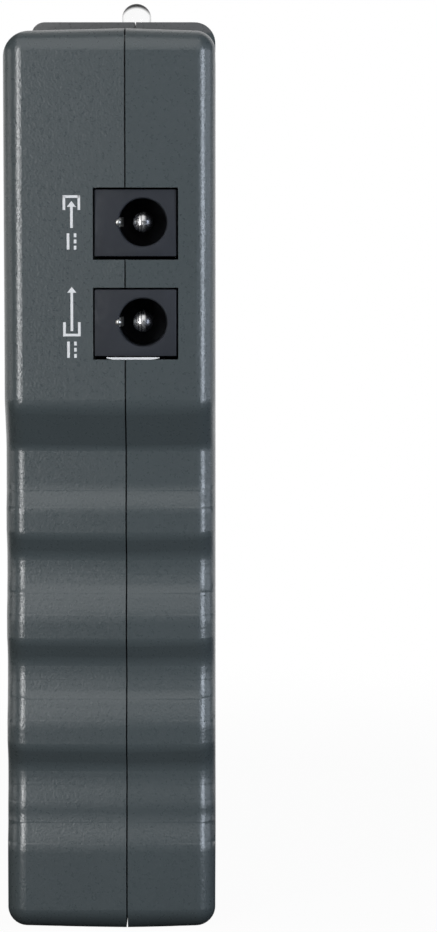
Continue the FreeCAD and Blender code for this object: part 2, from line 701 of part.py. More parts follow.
def jack_cutouts():
    """Openings in the flanks for the four jacks, right through both shells."""
    tools = []
    past = v.head_half_width + v.overshoot
    inside = v.head_flank - v.wall - v.cutout_reach
    for height in (v.dc_in_height, v.dc_out_height):
        low = height - v.jack_width / 2 - v.jack_gap_foot
        high = height + v.jack_width / 2 + v.jack_gap_top
        ys = (v.board_rear - v.jack_gap_front, v.jack_rear + v.jack_gap_back)
        tools.append(block((inside, past), ys, (low, high)))
    for height in (v.lan_in_height, v.lan_out_height):
        half = v.lan_width / 2 + v.lan_gap
        ys = (v.board_rear - v.lan_gap, v.lan_rear + v.lan_gap)
        tools.append(block((-past, -inside), ys, (height - half, height + half)))
    return tools


def case_screw_places():
    """Where the four case screws go through the back."""
    spots = []
    for side in (-1, 1):
        spots.append((side * v.screw_top_side, v.screw_top_height))
        spots.append((side * v.screw_foot_side, v.screw_foot_height))
    return spots


def board_screw_places():
    """Where the four board screws go."""
    spots = []
    for side in (-1, 1):
        spots.append((side * v.board_screw_side, v.board_screw_low))
        spots.append((side * v.board_screw_high_side, v.board_screw_high))
    return spots


def lamp_places():
    """Where the eight indicator lamps look through the front."""
    return [(side * v.small_led_column, v.small_led_top - n * v.small_led_pitch)
            for side in (-1, 1) for n in range(int(v.small_led_count))]


def lamp_hole():
    """Hole for the clear lamp, up through the crown."""
    return Part.makeCylinder(v.led_radius + v.led_hole_gap, v.wall + v.crown_rise + 2 * v.overshoot,
                             FreeCAD.Vector(0, v.crown_seam, v.top_inner - v.overshoot))


def round_sides(solid, radius):
    """Round the corners of a block that run through its depth."""
    return solid.makeFillet(radius, [edge for edge in solid.Edges if edge.BoundBox.YLength > v.overshoot])


def brow():
    """What the fuller round takes off where the front meets the drafted top."""
    radius = v.brow_round
    side = v.head_half_width + v.overshoot
    slope = v.draft_inset / (v.front_rim - v.front_face)
    top = v.case_height - v.draft_inset + slope * radius
    middle_y = v.front_face + radius
    waste = block((-side, side), (v.front_face - v.overshoot, middle_y),
                  (top - radius, top + v.overshoot))
    keep = Part.makeCylinder(radius, 2 * side, FreeCAD.Vector(-side, middle_y, top - radius),
                             FreeCAD.Vector(1, 0, 0))
    return waste.cut(keep)


def front_shell():
    """Front half of the case: key and lamp holes, posts, ribs and the lip at the seam."""
    shell = half_case(v.front_rim, v.front_face).cut(cavity(v.wall, v.front_inner, v.front_rim))
    shell = shell.cut(brow())
    field = block((-v.panel_half_width, v.panel_half_width),
                  (v.front_face - v.overshoot, v.panel_floor), (v.panel_low, v.panel_high))
    shell = shell.cut(round_sides(field, v.panel_round))
    lip_outer = cavity(v.lip_inset, v.front_rim - v.overlap, v.front_rim + v.lip_height)
    lip_inner = cavity(v.lip_inset + v.lip_thickness, v.front_rim - v.overshoot,
                       v.front_rim + v.lip_height + v.overshoot)
    lip = lip_outer.cut(lip_inner)
    shell = shell.fuse(lip)
    shell = shell.cut(block((-v.crown_half_width, v.crown_half_width),
                            (v.front_rim, v.back_face),
                            (v.top_inner - v.wall, v.case_height + v.overshoot)))
    shell = shell.fuse(crown(v.front_face, v.crown_seam - v.seam_gap / 2))
    hole_floor = v.front_inner + v.screw_hole_floor
    for x, z in case_screw_places():
        shell = shell.fuse(bar(v.boss_radius, x, z, v.front_inner - v.overlap, v.front_rim))
        shell = shell.cut(bar(v.screw_shank + v.screw_hole_gap, x, z, hole_floor,
                              v.front_rim + v.overshoot))
    for x, z in board_screw_places():
        shell = shell.fuse(bar(v.post_radius, x, z, v.front_inner - v.overlap, v.board_front))
        shell = shell.cut(bar(v.board_screw_shank + v.screw_hole_gap, x, z, hole_floor,
                              v.board_front + v.overshoot))
    through_front = (v.front_face - v.overshoot, v.front_inner + v.overshoot)
    for x, z in lamp_places():
        shell = shell.cut(bar(v.small_led_radius + v.led_hole_gap, x, z, *through_front))
    shell = shell.cut(bar(v.key_radius + v.key_gap, 0, v.key_height, *through_front))
    for side in (-1, 1):
        rib_x = side * v.battery_width / 3
        shell = shell.fuse(block((rib_x - v.battery_rib / 2, rib_x + v.battery_rib / 2),
                                 (v.front_inner - v.overlap, v.battery_front),
                                 (v.wall - v.overlap, v.battery_high)))
    for tool in jack_cutouts():
        shell = shell.cut(tool)
    return shell.cut(lamp_hole()).removeSplitter()


def back_shell():
    """Back half of the case: screw wells, battery bay and the rabbet for the lip."""
    shell = half_case(v.back_rim, v.back_face).cut(cavity(v.wall, v.back_rim, v.back_inner))
    rabbet = cavity(v.lip_inset - v.fit_gap, v.front_rim,
                    v.front_rim + v.lip_height + v.fit_gap)
    shell = shell.cut(rabbet)
    shell = shell.cut(block((-v.crown_half_width - v.fit_gap, v.crown_half_width + v.fit_gap),
                            (v.front_rim - v.overshoot, v.crown_seam + v.seam_gap / 2),
                            (v.top_inner - v.wall - v.overshoot, v.case_height + v.overshoot)))
    shell = shell.fuse(crown(v.crown_seam + v.seam_gap / 2, v.back_face))
    for x, z in case_screw_places():
        shell = shell.fuse(bar(v.boss_radius, x, z, v.back_rim, v.back_inner + v.overlap))
        shell = shell.cut(bar(v.screw_shank + v.screw_clearance, x, z, v.seam - v.overshoot,
                              v.back_face))
        shell = shell.cut(bar(v.screw_well, x, z, v.screw_seat, v.back_face + v.overshoot))
    bay = v.battery_width / 2 + v.bay_gap
    bay_foot = v.battery_low - v.bay_foot_gap
    bay_depth = (v.battery_front + v.bay_short, v.back_inner + v.overlap)
    for side in (-1, 1):
        shell = shell.fuse(block((side * bay, side * (bay + v.bay_wall)), bay_depth,
                                 (bay_foot - v.bay_wall, v.battery_high - v.bay_open)))
    shell = shell.fuse(block((-bay, bay), bay_depth, (bay_foot - v.bay_wall, bay_foot)))
    seat_half = v.door_half_width + v.fit_gap
    seat = block((-seat_half, seat_half), (v.door_front, v.back_face + v.overshoot),
                 (v.door_low - v.fit_gap, v.door_high + v.fit_gap))
    opening = block((-bay, bay), (v.back_inner - v.overshoot, v.back_face + v.overshoot),
                    (v.battery_low, v.battery_high + v.door_opening_above))
    post = bar(v.boss_radius, 0, v.door_screw_height, v.back_inner - v.door_post_height, v.door_front)
    shell = shell.cut(round_sides(seat, v.door_round)).cut(opening).fuse(post)
    shell = shell.cut(bar(v.screw_shank + v.screw_hole_gap, 0, v.door_screw_height,
                          v.back_inner - v.door_hole_depth, v.back_face + v.overshoot))
    for tool in jack_cutouts():
        shell = shell.cut(tool)
    return shell.cut(lamp_hole()).removeSplitter()


node("front_shell", feature("FrontShell", front_shell()))
node("back_shell", feature("BackShell", back_shell()))


# Battery door with its screw, pad and battery.

def battery_door():
    """Door that lies flush in the back, with a well for its screw."""
    door = block((-v.door_half_width, v.door_half_width), (v.door_front, v.back_face),
                 (v.door_low, v.door_high))
    door = round_sides(door, v.door_round)
    well = bar(v.screw_head + v.screw_clearance, 0, v.door_screw_height,
               v.back_face - v.door_well_depth, v.back_face + v.overshoot)
    hole = bar(v.screw_shank + v.screw_clearance, 0, v.door_screw_height,
               v.door_front - v.overshoot, v.back_face)
    return door.cut(well).cut(hole)


node("battery_door", feature("BatteryDoor", battery_door()))
battery_half = "battery_width / 2"
cell = rounded("battery_case",
               box("battery_block", ("-" + battery_half, battery_half),
                   ("battery_front", "battery_rear"), ("battery_low", "battery_high")),
               "battery_round", lambda edge: edge.BoundBox.ZLength > v.overshoot)
plus = rod("battery_plus", "z", "plus_radius",
           ("-terminal_side", "battery_middle", "battery_high - overlap"),
           "terminal_height + overlap")
minus = rod("battery_minus", "z", "minus_radius",
            ("terminal_side", "battery_middle", "battery_high - overlap"),
            "terminal_height + overlap")
node("battery", fuse("battery_whole", [cell, plus, minus]))
node("battery_pad", box("foam_pad", ("-battery_width / 3", "battery_width / 3"),
                        ("battery_rear", "back_inner"),
                        ("battery_low + pad_inset", "battery_high - pad_inset")))

# Circuit board with holes for its screws and notches for the case screws.
grip = "board_grip_side"
head = "board_head_side"
notch = "board_notch_side"
outline_right = [(grip, "board_low"), (grip, "board_neck"), (head, "board_neck"),
                 (head, "board_high - board_notch"), (notch, "board_high - board_notch"),
                 (notch, "board_high")]
outline_left = [("-" + x, z) for x, z in reversed(outline_right)]
plate = padded("board_plate", "XZ_Plane", outline_right + outline_left, "board_thickness",
               ("0", "board_rear", "0"))
board_spots = [(sign + side, height) for sign in ("-", "") for side, height in (
    ("board_screw_side", "board_screw_low"), ("board_screw_high_side", "board_screw_high"))]
screw_holes = [rod(f"board_hole_{n}", "y", "board_screw_shank + screw_clearance",
                   (x, "board_front - overshoot", z), "board_thickness + 2 * overshoot")
               for n, (x, z) in enumerate(board_spots)]
node("main_board", cut("board_drilled", plate, screw_holes))


# Power jacks with pin and side contact.

def power_jack(name, height):
    """Housing, centre pin and side contact of one power jack."""
    block_ = box(name + "_block", ("jack_end", "jack_face"), ("board_rear", "jack_rear"),
                 (height + " - jack_width / 2", height + " + jack_width / 2"))
    bore = rod(name + "_bore", "x", "jack_bore_radius", ("bore_floor", "jack_hole_place", height),
               "jack_bore_depth + overshoot")
    slot = box(name + "_slot", ("bore_floor", "jack_face - spring_cover"),
               ("spring_low", "jack_hole_place"),
               (height + " - spring_width / 2", height + " + spring_width / 2"))
    node(name + "_jack", cut(name + "_housing", block_, [bore, slot]))
    pin = turned(name + "_pin_turned",
                 [("0", "0"), ("jack_pin_radius", "0"),
                  ("jack_pin_radius", "pin_length - pin_round"),
                  ("jack_pin_radius - pin_round_step", "pin_length - pin_round_step"),
                  ("jack_pin_radius - pin_round", "pin_length"), ("0", "pin_length")],
                 "x", ("bore_floor", "jack_hole_place", height))
    node(name + "_pin", pin)
    crest = "spring_high + spring_rise"
    leaf = padded(name + "_leaf", "XY_Plane",
                  [("bore_floor", "spring_low"), ("jack_face - spring_cover", "spring_low"),
                   ("jack_face - spring_cover", "spring_high"),
                   ("bore_floor + spring_crest + spring_crest_length", crest),
                   ("bore_floor + spring_crest", crest), ("bore_floor", "spring_high")],
                  "spring_width", ("0", "0", height + " - spring_width / 2"))
    node(name + "_contact", leaf)


power_jack("dc_in", "dc_in_height")
power_jack("dc_out", "dc_out_height")
sill = "dc_out_height - jack_width / 2 - jack_gap_foot"
node("jack_strip", box("white_strip", ("head_flank - strip_depth", "head_flank - strip_recess"),
                       ("seam - strip_start", "seam - strip_start + strip_length"),
                       (sill, sill + " + strip_thickness")))


# Network jacks with shield, insert and contact wires.

def network_jack(name, height):
    """Shield, insert and contact wires of one network jack, open towards -X."""
    width = (f"{height} - lan_width / 2", f"{height} + lan_width / 2")
    inner_width = (f"{width[0]} + lan_sheet", f"{width[1]} - lan_sheet")
    inner_depth = ("board_rear + lan_sheet", "lan_rear - lan_sheet")
    before = "lan_face - overshoot"
    outer = box(name + "_can", ("lan_face", "lan_end"), ("board_rear", "lan_rear"), width)
    inner = box(name + "_hollow", (before, "lan_end - lan_sheet"), inner_depth, inner_width)
    node(name + "_shield", cut(name + "_sheet", outer, [inner]))
    core = box(name + "_core", ("lan_face + lan_insert_recess", "lan_end - lan_sheet"),
               inner_depth, inner_width)
    mouth = box(name + "_mouth", (before, "lan_face + lan_mouth_depth"),
                ("lan_mouth_foot", "lan_mouth_head"),
                (height + " - lan_mouth_width / 2", height + " + lan_mouth_width / 2"))
    key = box(name + "_key", (before, "lan_face + lan_key_depth"),
              ("lan_mouth_foot - lan_key_height", "lan_mouth_foot + overshoot"),
              (height + " - lan_key_width / 2", height + " + lan_key_width / 2"))
    node(name + "_insert", cut(name + "_moulding", core, [mouth, key]))
    root = "lan_face + contact_start"
    bend = root + " + contact_flat"
    end = "lan_face + lan_mouth_depth"
    under = "lan_mouth_head - contact_wire"
    profile = [(root, "lan_mouth_head"), (bend, "lan_mouth_head"),
               (end, under + " - contact_drop + 2 * contact_wire"),
               (end, under + " - contact_drop + contact_wire"), (bend, under), (root, under)]
    wires = []
    for n in range(8):
        low = f"{height} + contact_pitch * {n - 3.5} - contact_wire / 2"
        wires.append(padded(f"{name}_wire_{n}", "XY_Plane", profile, "contact_wire", ("0", "0", low)))
    node(name + "_contacts", group(name + "_wires", wires))


network_jack("lan_in", "lan_in_height")
network_jack("lan_out", "lan_out_height")

# Clear lamp on the crown, with its leads bent onto the board.
lens = fuse("lamp_lens", [
    rod("lamp_flange", "z", "led_flange", ("0", "crown_seam", "led_foot"), "led_flange_height"),
    rod("lamp_stem", "z", "led_radius", ("0", "crown_seam", "led_foot"), "led_middle - led_foot"),
    ball("lamp_dome", "led_radius", ("0", "crown_seam", "led_middle")),
])
node("top_lamp", lens)
leads = []
for n, side in enumerate(("-lead_place - lead_side / 2", "lead_place - lead_side / 2")):
    xs = (side, f"{side} + lead_side")
    down = box(f"lead_down_{n}", xs, ("crown_seam - lead_side / 2", "crown_seam + lead_side / 2"),
               ("led_foot - lead_drop", "led_foot"))
    over = box(f"lead_over_{n}", xs, ("board_rear", "crown_seam + lead_side / 2"),
               ("led_foot - lead_drop - lead_side", "led_foot - lead_drop"))
    leads.append(fuse(f"lead_{n}", [down, over]))
node("top_lamp_leads", group("lamp_leads", leads))


def indicator_lamp(name, x, z):
    """One small lamp that looks through the front."""
    tip_middle = "small_led_tip + small_led_radius"
    stem = rod(name + "_stem", "y", "small_led_radius", (x, tip_middle, z),
               f"small_led_foot - ({tip_middle})")
    flange = rod(name + "_flange", "y", "small_led_flange",
                 (x, "small_led_foot - small_led_flange_height", z), "small_led_flange_height")
    dome = ball(name + "_dome", "small_led_radius", (x, tip_middle, z))
    node(name, fuse(name + "_lens", [stem, flange, dome]))


def indicator_column(column, x):
    """One column of indicator lamps with the holder between them and the board."""
    for n in range(int(v.small_led_count)):
        indicator_lamp(f"indicator_{column}_{n + 1}", x, f"small_led_top - small_led_pitch * {n}")
    node(f"lamp_holder_{column}",
         box(f"holder_{column}", (f"{x} - lamp_holder_width / 2", f"{x} + lamp_holder_width / 2"),
             ("small_led_foot", "board_front"),
             ("small_led_middle - small_led_reach", "small_led_middle + small_led_reach")))


indicator_column("left", "-small_led_column")
indicator_column("right", "small_led_column")

# Test key, its plunger and the switch.
key_z = "key_height"
node("test_key", fuse("key_whole", [
    turned("key_crown",
           [("0", "0"), ("key_radius - key_bevel", "0"), ("key_radius", "key_bevel"), ("0", "key_bevel")],
           "y", ("0", "key_front", key_z)),
    rod("key_barrel", "y", "key_radius", ("0", "key_front + key_bevel", key_z),
        "key_flange_back - key_front - key_bevel"),
    rod("key_flange_disc", "y", "key_flange", ("0", "key_flange_front", key_z),
        "key_flange_thickness"),
    rod("key_stem", "y", "plunger_radius", ("0", "key_flange_back", key_z),
        "plunger_front - key_flange_back"),
]))
node("switch_plunger", rod("plunger", "y", "plunger_radius", ("0", "plunger_front", key_z),
                           "plunger_length"))
side = "switch_side / 2"
node("key_switch", cut("switch_body", box("switch_block", (f"-{side}", side),
                                          ("switch_front", "board_front"),
                                          (f"{key_z} - {side}", f"{key_z} + {side}")),
                       [rod("switch_well", "y", "plunger_radius + plunger_gap",
                            ("0", "switch_front - overshoot", key_z),
                            "plunger_length - plunger_show + key_travel + plunger_spare + overshoot")]))


# Electronics on the back of the board.

def on_board(name, low_x, width, low_z, length, height):
    """Block-shaped component that stands on the back of the board."""
    return box(name, (low_x, f"{low_x} + {width}"), ("board_rear", f"board_rear + {height}"),
               (low_z, f"{low_z} + {length}"))


node("lan_magnetics", on_board("magnetics", "magnetics_side", "magnetics_width",
                               "case_height - magnetics_drop", "magnetics_length",
                               "magnetics_height"))
node("controller_chip", on_board("chip", "chip_side", "chip_width", "board_low + chip_rise",
                                 "chip_length", "chip_height"))
for n in range(2):
    node(f"bridge_rectifier_{n + 1}",
         on_board(f"rectifier_{n}", "rectifier_side", "rectifier_width",
                  f"board_low + rectifier_rise + {n} * rectifier_pitch", "rectifier_length",
                  "rectifier_height"))
node("supply_transformer", fuse("transformer", [
    on_board("transformer_foot", "transformer_left", "transformer_side", "transformer_low",
             "transformer_side", "transformer_foot_height"),
    on_board("transformer_core", "transformer_left + transformer_step",
             "transformer_side - 2 * transformer_step", "transformer_low + transformer_step",
             "transformer_side - 2 * transformer_step", "transformer_height"),
]))
node("power_inductor", turned("inductor", [
    ("0", "0"), ("inductor_radius", "0"), ("inductor_radius", "inductor_flange"),
    ("inductor_waist", "inductor_flange + inductor_slope"),
    ("inductor_waist", "inductor_height - inductor_flange - inductor_slope"),
    ("inductor_radius", "inductor_height - inductor_flange"),
    ("inductor_radius", "inductor_height"), ("0", "inductor_height"),
], "y", ("inductor_x", "board_rear", "board_low + inductor_rise")))
node("bulk_capacitor", turned("capacitor", [
    ("0", "0"), ("capacitor_radius", "0"),
    ("capacitor_radius", "capacitor_height - capacitor_bevel"),
    ("capacitor_radius - capacitor_bevel", "capacitor_height"), ("0", "capacitor_height"),
], "y", ("capacitor_x", "board_rear", "board_low + capacitor_rise")))

# Holder that meets the terminals of the battery.
node("battery_holder", box("holder_block", ("-holder_half_width", "holder_half_width"),
                           ("board_rear", "holder_rear"),
                           ("holder_low", "board_low + holder_overlap")))
node("battery_clips", group("clips", [
    rod(f"clip_{n}", "z", "clip_radius", (x, "battery_middle", "terminal_high + clip_gap"),
        "holder_low - terminal_high - clip_gap")
    for n, x in enumerate(("-terminal_side", "terminal_side"))]))


# Screws.

def screw(name, shank, head_radius, head_height, length, x, y, z):
    """Screw along Y with its head towards the back, seated at y."""
    return turned(name, [("0", f"-{length}"), (shank, f"-{length}"), (shank, "0"),
                         (head_radius, "0"), (head_radius, f"{head_height} / 2"),
                         (f"{head_radius} - {head_height} / 2", head_height), ("0", head_height)],
                  "y", (x, y, z))


case_spots = [(sign + side, height) for sign in ("-", "") for side, height in (
    ("screw_foot_side", "screw_foot_height"), ("screw_top_side", "screw_top_height"))]
case_screws = [screw(f"case_screw_{n}", "screw_shank", "screw_head", "screw_head_height",
                     "screw_length", x, "screw_seat", z) for n, (x, z) in enumerate(case_spots)]
board_screws = [screw(f"board_screw_{n}", "board_screw_shank", "board_screw_head",
                      "board_screw_head_height", "board_screw_length", x, "board_rear", z)
                for n, (x, z) in enumerate(board_spots)]
node("case_screws", group("case_screw_set", case_screws))
node("board_screws", group("board_screw_set", board_screws))
node("door_screw", screw("door_screw_turned", "screw_shank", "screw_head", "door_screw_head_height",
                         "door_screw_length", "0", "back_face - door_well_depth",
                         "door_screw_height"))

doc.recompute()
for item in doc.Objects:
    if "Invalid" in item.State or "Error" in item.State:
        raise RuntimeError(f"{item.Name} failed: {item.State}")
for item in NODES:
    if item.Shape.isNull() or not item.Shape.isValid():
        raise RuntimeError(f"{item.Label} has no valid shape")
os.makedirs("parts", exist_ok=True)
for item in NODES:
    item.Shape.exportStep(f"parts/{item.Label}.step")
print(len(NODES), "pieces written")
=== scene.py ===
import json
import math
from functools import cache

import bmesh
import bpy
from bpy.props import FloatProperty, FloatVectorProperty, IntProperty, PointerProperty
from mathutils import Matrix, Vector
from mathutils.bvhtree import BVHTree


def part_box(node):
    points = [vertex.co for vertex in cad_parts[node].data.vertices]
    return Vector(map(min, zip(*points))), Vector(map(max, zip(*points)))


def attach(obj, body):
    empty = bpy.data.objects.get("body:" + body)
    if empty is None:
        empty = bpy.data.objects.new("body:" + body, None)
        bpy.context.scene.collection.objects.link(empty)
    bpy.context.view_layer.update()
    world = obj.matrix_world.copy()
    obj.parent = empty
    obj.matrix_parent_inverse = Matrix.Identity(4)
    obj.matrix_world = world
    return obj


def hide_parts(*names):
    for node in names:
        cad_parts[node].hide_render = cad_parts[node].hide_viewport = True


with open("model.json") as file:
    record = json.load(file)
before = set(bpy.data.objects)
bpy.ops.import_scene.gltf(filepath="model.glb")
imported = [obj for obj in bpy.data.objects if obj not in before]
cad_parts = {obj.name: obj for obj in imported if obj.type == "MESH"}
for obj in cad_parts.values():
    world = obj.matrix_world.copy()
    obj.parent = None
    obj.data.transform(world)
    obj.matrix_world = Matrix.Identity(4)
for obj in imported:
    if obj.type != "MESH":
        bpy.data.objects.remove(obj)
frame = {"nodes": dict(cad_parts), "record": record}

bl_info = {
    "name": "Network tester",
    "version": (1, 0, 0),
    "blender": (4, 5, 0),
    "location": "3D View > Sidebar > Tester",
    "description": "Dresses the solids of a hand-held power over ethernet tester",
    "category": "Object",
}

MM = 0.001
WELD = 0.001 * MM
QUARTER = math.radians(90)
SHARP_ANGLE = math.radians(35)
BEVEL_ANGLE = math.radians(50)
FLAT_ANGLE = math.radians(0.1)
CASE = "case"
KEY = "key"
RECORD_COLORS = {row["slot"]: tuple(row["base_color"][:3]) for row in frame["record"]["materials"]}

for startup in ("Cube", "Light", "Camera"):
    if startup in bpy.data.objects:
        bpy.data.objects.remove(bpy.data.objects[startup])
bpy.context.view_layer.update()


# Boxes of the solids, from which the sizes of the finer pieces follow.

def low(node):
    """Lowest corner of a solid."""
    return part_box(node)[0]


def high(node):
    """Highest corner of a solid."""
    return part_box(node)[1]


def middle(node):
    """Middle of a solid."""
    return (low(node) + high(node)) / 2


def extent(node):
    """Length of a solid on each axis."""
    return high(node) - low(node)


def mm(text, description, value, **more):
    """A length that the user sets, given in millimetres."""
    return FloatProperty(name=text, description=description, default=value * MM,
                         unit="LENGTH", precision=5, **more)


def share(text, description, value):
    """A plain number from 0 upwards."""
    return FloatProperty(name=text, description=description, default=value, min=0.0)


def tint(text, description, value):
    """A colour that the user sets."""
    return FloatVectorProperty(name=text, description=description, default=value, size=3,
                               subtype="COLOR", min=0.0, max=1.0)


# Trees of nodes.

class Signal:
    """An output of a node that can be reckoned with."""

    def __init__(self, owner, socket):
        self.owner = owner
        self.socket = socket

    def math(self, operation, *others):
        """One sum that begins with this signal."""
        return self.owner.math(operation, self, *others)

    def __add__(self, other):
        return self.math("ADD", other)

    __radd__ = __add__

    def __sub__(self, other):
        return self.math("SUBTRACT", other)

    def __rsub__(self, other):
        return self.owner.math("SUBTRACT", other, self)

    def __mul__(self, other):
        return self.math("MULTIPLY", other)

    __rmul__ = __mul__


class Tree:
    """Nodes that are added one by one and give signals."""

    def __init__(self, tree):
        self.tree = tree

    def link(self, slot, value):
        """Join a signal to an input, or write a plain value there."""
        if isinstance(value, Signal):
            self.tree.links.new(value.socket, slot)
        else:
            slot.default_value = value

    def node(self, kind, inputs=None, output=0, **settings):
        """Add any node and give one of its outputs. A list holds all that joins one input."""
        made = self.tree.nodes.new(kind)
        for name, value in settings.items():
            setattr(made, name, value)
        for key, value in (inputs or {}).items():
            for one in value if isinstance(value, list) else [value]:
                self.link(made.inputs[key], one)
        return Signal(self, made.outputs[output])

    def math(self, operation, *values):
        """One sum of plain numbers and signals."""
        return self.node("ShaderNodeMath", dict(enumerate(values)), operation=operation)

    def ray(self, kind):
        """1 for rays of one kind, else 0."""
        return self.node("ShaderNodeLightPath", output=f"Is {kind} Ray")


class Finish(Tree):
    """A material that is built up node by node from places on the object."""

    def __init__(self, name, color, roughness, metallic=0.0, **fixed):
        self.material = bpy.data.materials.new(name)
        self.material.use_nodes = True
        super().__init__(self.material.node_tree)
        self.shader = self.tree.nodes["Principled BSDF"]
        self.color = tuple(color)
        self.set("Base Color", (*self.color, 1.0))
        self.set("Roughness", roughness)
        self.set("Metallic", metallic)
        for socket, value in fixed.items():
            self.set(socket.replace("_", " "), value)
        self.place = self.node("ShaderNodeTexCoord", output="Object")
        self.last_bump = None

    def set(self, socket, value):
        """Feed one input of the shader."""
        self.link(self.shader.inputs[socket], value)

    def axis(self, name):
        """One coordinate of the place on the object."""
        return self.node("ShaderNodeSeparateXYZ", {0: self.place}, output=name)

    def noise(self, size, detail=2.0, stretch=(1.0, 1.0, 1.0)):
        """Cloudy pattern with features of a given size."""
        place = self.node("ShaderNodeMapping", {0: self.place, "Scale": stretch})
        return self.node("ShaderNodeTexNoise", {"Vector": place, "Scale": 1 / size,
                                                "Detail": detail})

    def cells(self, size, output="Distance"):
        """Pattern of cells of a given size."""
        return self.node("ShaderNodeTexVoronoi", {"Vector": self.place, "Scale": 1 / size},
                         output=output)

    def waves(self, size, direction):
        """Even bands across one axis."""
        return self.node("ShaderNodeTexWave", {"Vector": self.place, "Scale": 1 / size},
                         output="Fac", bands_direction=direction)

    def share_of(self, signal, start, end):
        """Carry a signal evenly from one value to another."""
        return self.node("ShaderNodeMapRange", {0: signal, 1: start, 2: end})

    def ramp(self, signal, start, end, to_start=0.0, to_end=1.0):
        """Carry a signal softly from one range to another."""
        return self.node("ShaderNodeMapRange", {
            0: signal, 1: start, 2: end, 3: to_start, 4: to_end}, interpolation_type="SMOOTHSTEP")

    def mix(self, factor, first, second):
        """Blend two colours."""
        first, second = [color if isinstance(color, Signal) else (*color, 1.0)
                         for color in (first, second)]
        return self.node("ShaderNodeMix", {0: factor, 6: first, 7: second}, output=2,
                         data_type="RGBA")

    def shade(self, factor, amount):
        """Vary the base colour round its own value by a signal that runs from 0 to 1."""
        darker = [channel * (1 - amount) for channel in self.color]
        lighter = [channel * (1 + amount) for channel in self.color]
        return self.mix(factor, darker, lighter)

    def bump(self, height, depth):
        """Raise the surface by a signal, on top of what was raised before."""
        inputs = {"Height": height, "Distance": depth}
        if self.last_bump is not None:
            inputs["Normal"] = self.last_bump
        self.last_bump = self.node("ShaderNodeBump", inputs)
        self.set("Normal", self.last_bump)

    def shine(self, amount):
        """Put plain white light in place of a share of the shader."""
        glow = self.node("ShaderNodeEmission", {"Color": (1, 1, 1, 1), "Strength": 1.0})
        mixed = self.node("ShaderNodeMixShader", {
            0: amount, 1: Signal(self, self.shader.outputs[0]), 2: glow})
        self.link(self.tree.nodes["Material Output"].inputs["Surface"], mixed)


def settings():
    """All values that the panel shows."""
    return bpy.context.scene.tester


@cache
def case_plastic():
    """Spark-textured dark moulding with faint clouds and specks, painted paler at the crown as
    painted light from above and darker at the foot as painted shade.
    """
    look = settings().case_look
    f = Finish("case_plastic", look.color, look.roughness, Specular_IOR_Level=look.gloss)
    clouds = f.noise(look.cloud_size, 3.0)
    specks = f.noise(look.speck_size, 1.0)
    tone = clouds * 0.6 + specks * 0.7
    # Painted light: the crown is painted paler in place of light from above falling on it.
    crown = f.ramp(f.axis("Z"), look.lit_crown_start, look.lit_crown_start + 0.3 * MM)
    paler = (0.17, 0.17, 0.17)
    # Painted shade: the case is painted darker towards its foot, where little light reaches the
    # round under it.
    foot = f.ramp(f.axis("Z"), look.painted_shade_height, 0.3 * look.painted_shade_height)
    body = f.mix(foot * 0.4, f.shade(tone, look.variation), (0.02, 0.025, 0.026))
    f.set("Base Color", f.mix(crown * 0.9, body, paler))
    f.set("Roughness", f.ramp(f.noise(look.grain_size * 2), 0.3, 0.7, look.roughness - 0.03,
                              look.roughness + 0.03))
    f.bump(softened_slopes(f, look), MM)
    f.bump(f.noise(look.grain_size * 1.2, 0.0), look.grain_depth)
    f.bump(f.noise(look.grain_size * 1.9, 0.0), look.grain_depth * 0.6)
    return f.material


def gentle_slopes(node):
    """Foot, head and normal of each slope across the flank, from the solid's faces."""
    mesh = frame["nodes"][node].data
    found = {}
    for face in mesh.polygons:
        heights = [mesh.vertices[corner].co.z for corner in face.vertices]
        run = max(heights) - min(heights)
        centre = (max(heights) + min(heights)) / 2
        if face.normal.x > 0.9 and 0.2 < face.normal.z < 0.36 and run > 1.5 * MM:
            known = next((key for key in found if abs(key - centre) < 1.5 * MM), centre)
            found.setdefault(known, (face.normal.copy(), []))[1].extend(heights)
    return [(max(height for height in heights if height < centre), max(heights), normal)
            for centre, (normal, heights) in found.items()]


def softened_slopes(f, look):
    """Height in millimetres that turns each straight slope into a longer, softer one."""
    z = f.axis("Z")
    total = 0.0
    for foot, head, normal in gentle_slopes("front_shell"):
        tilt = normal.z / normal.x
        ease = look.slope_round * normal.z
        into = f.share_of(z, foot - ease, foot)
        along = f.share_of(z, foot, head)
        out = f.share_of(z, head, head + ease)
        straight = (into * into * (ease / 2) + along * (head - foot)
                    + (out - out * out * 0.5) * ease) * (tilt / MM)
        middle_z, reach = (foot + head) / 2, (head - foot) / 2 * look.slope_reach
        soft = f.ramp(z, middle_z - reach, middle_z + reach) * (tilt * (head - foot + ease) / MM)
        total = total + straight - soft
    flank = f.ramp(f.axis("X").math("ABSOLUTE"), look.flank_start, look.flank_start + 2 * MM)
    return total * flank


def plain_moulding(name, color, roughness, grain_size, grain_depth, **fixed):
    """Smoother moulding with a faint grain."""
    f = Finish(name, color, roughness, **fixed)
    f.set("Base Color", f.shade(f.noise(grain_size * 12), 0.16))
    f.set("Roughness", f.ramp(f.noise(grain_size * 4), 0.3, 0.7,
                              roughness - 0.06, roughness + 0.06))
    f.bump(f.noise(grain_size), grain_depth)
    return f


@cache
def jack_plastic():
    """Satin black moulding of the jacks."""
    look = settings().jack_look
    return plain_moulding("jack_plastic", look.color, look.roughness, 0.25 * MM, 0.008 * MM,
                          Specular_IOR_Level=look.gloss).material


@cache
def strip_white():
    """Bright white plastic, also of the print; on the strip under the lower jack it stands for
    painted light in the gap.
    """
    f = plain_moulding("strip_white", RECORD_COLORS["strip_white"], 0.5, 0.2 * MM, 0.006 * MM)
    f.set("Base Color", f.mix(f.noise(1.0 * MM), (0.9, 0.91, 0.92), (0.97, 0.97, 0.97)))
    return f.material


@cache
def foam():
    """Open-cell foam, with painted shade in its pores."""
    f = Finish("foam", RECORD_COLORS["foam"], 0.95)
    # The pits of the cells are painted darker, painted shade in the pores.
    pores = f.cells(0.5 * MM)
    f.set("Base Color", f.shade(pores, 0.5))
    f.bump(pores, 0.2 * MM)
    return f.material


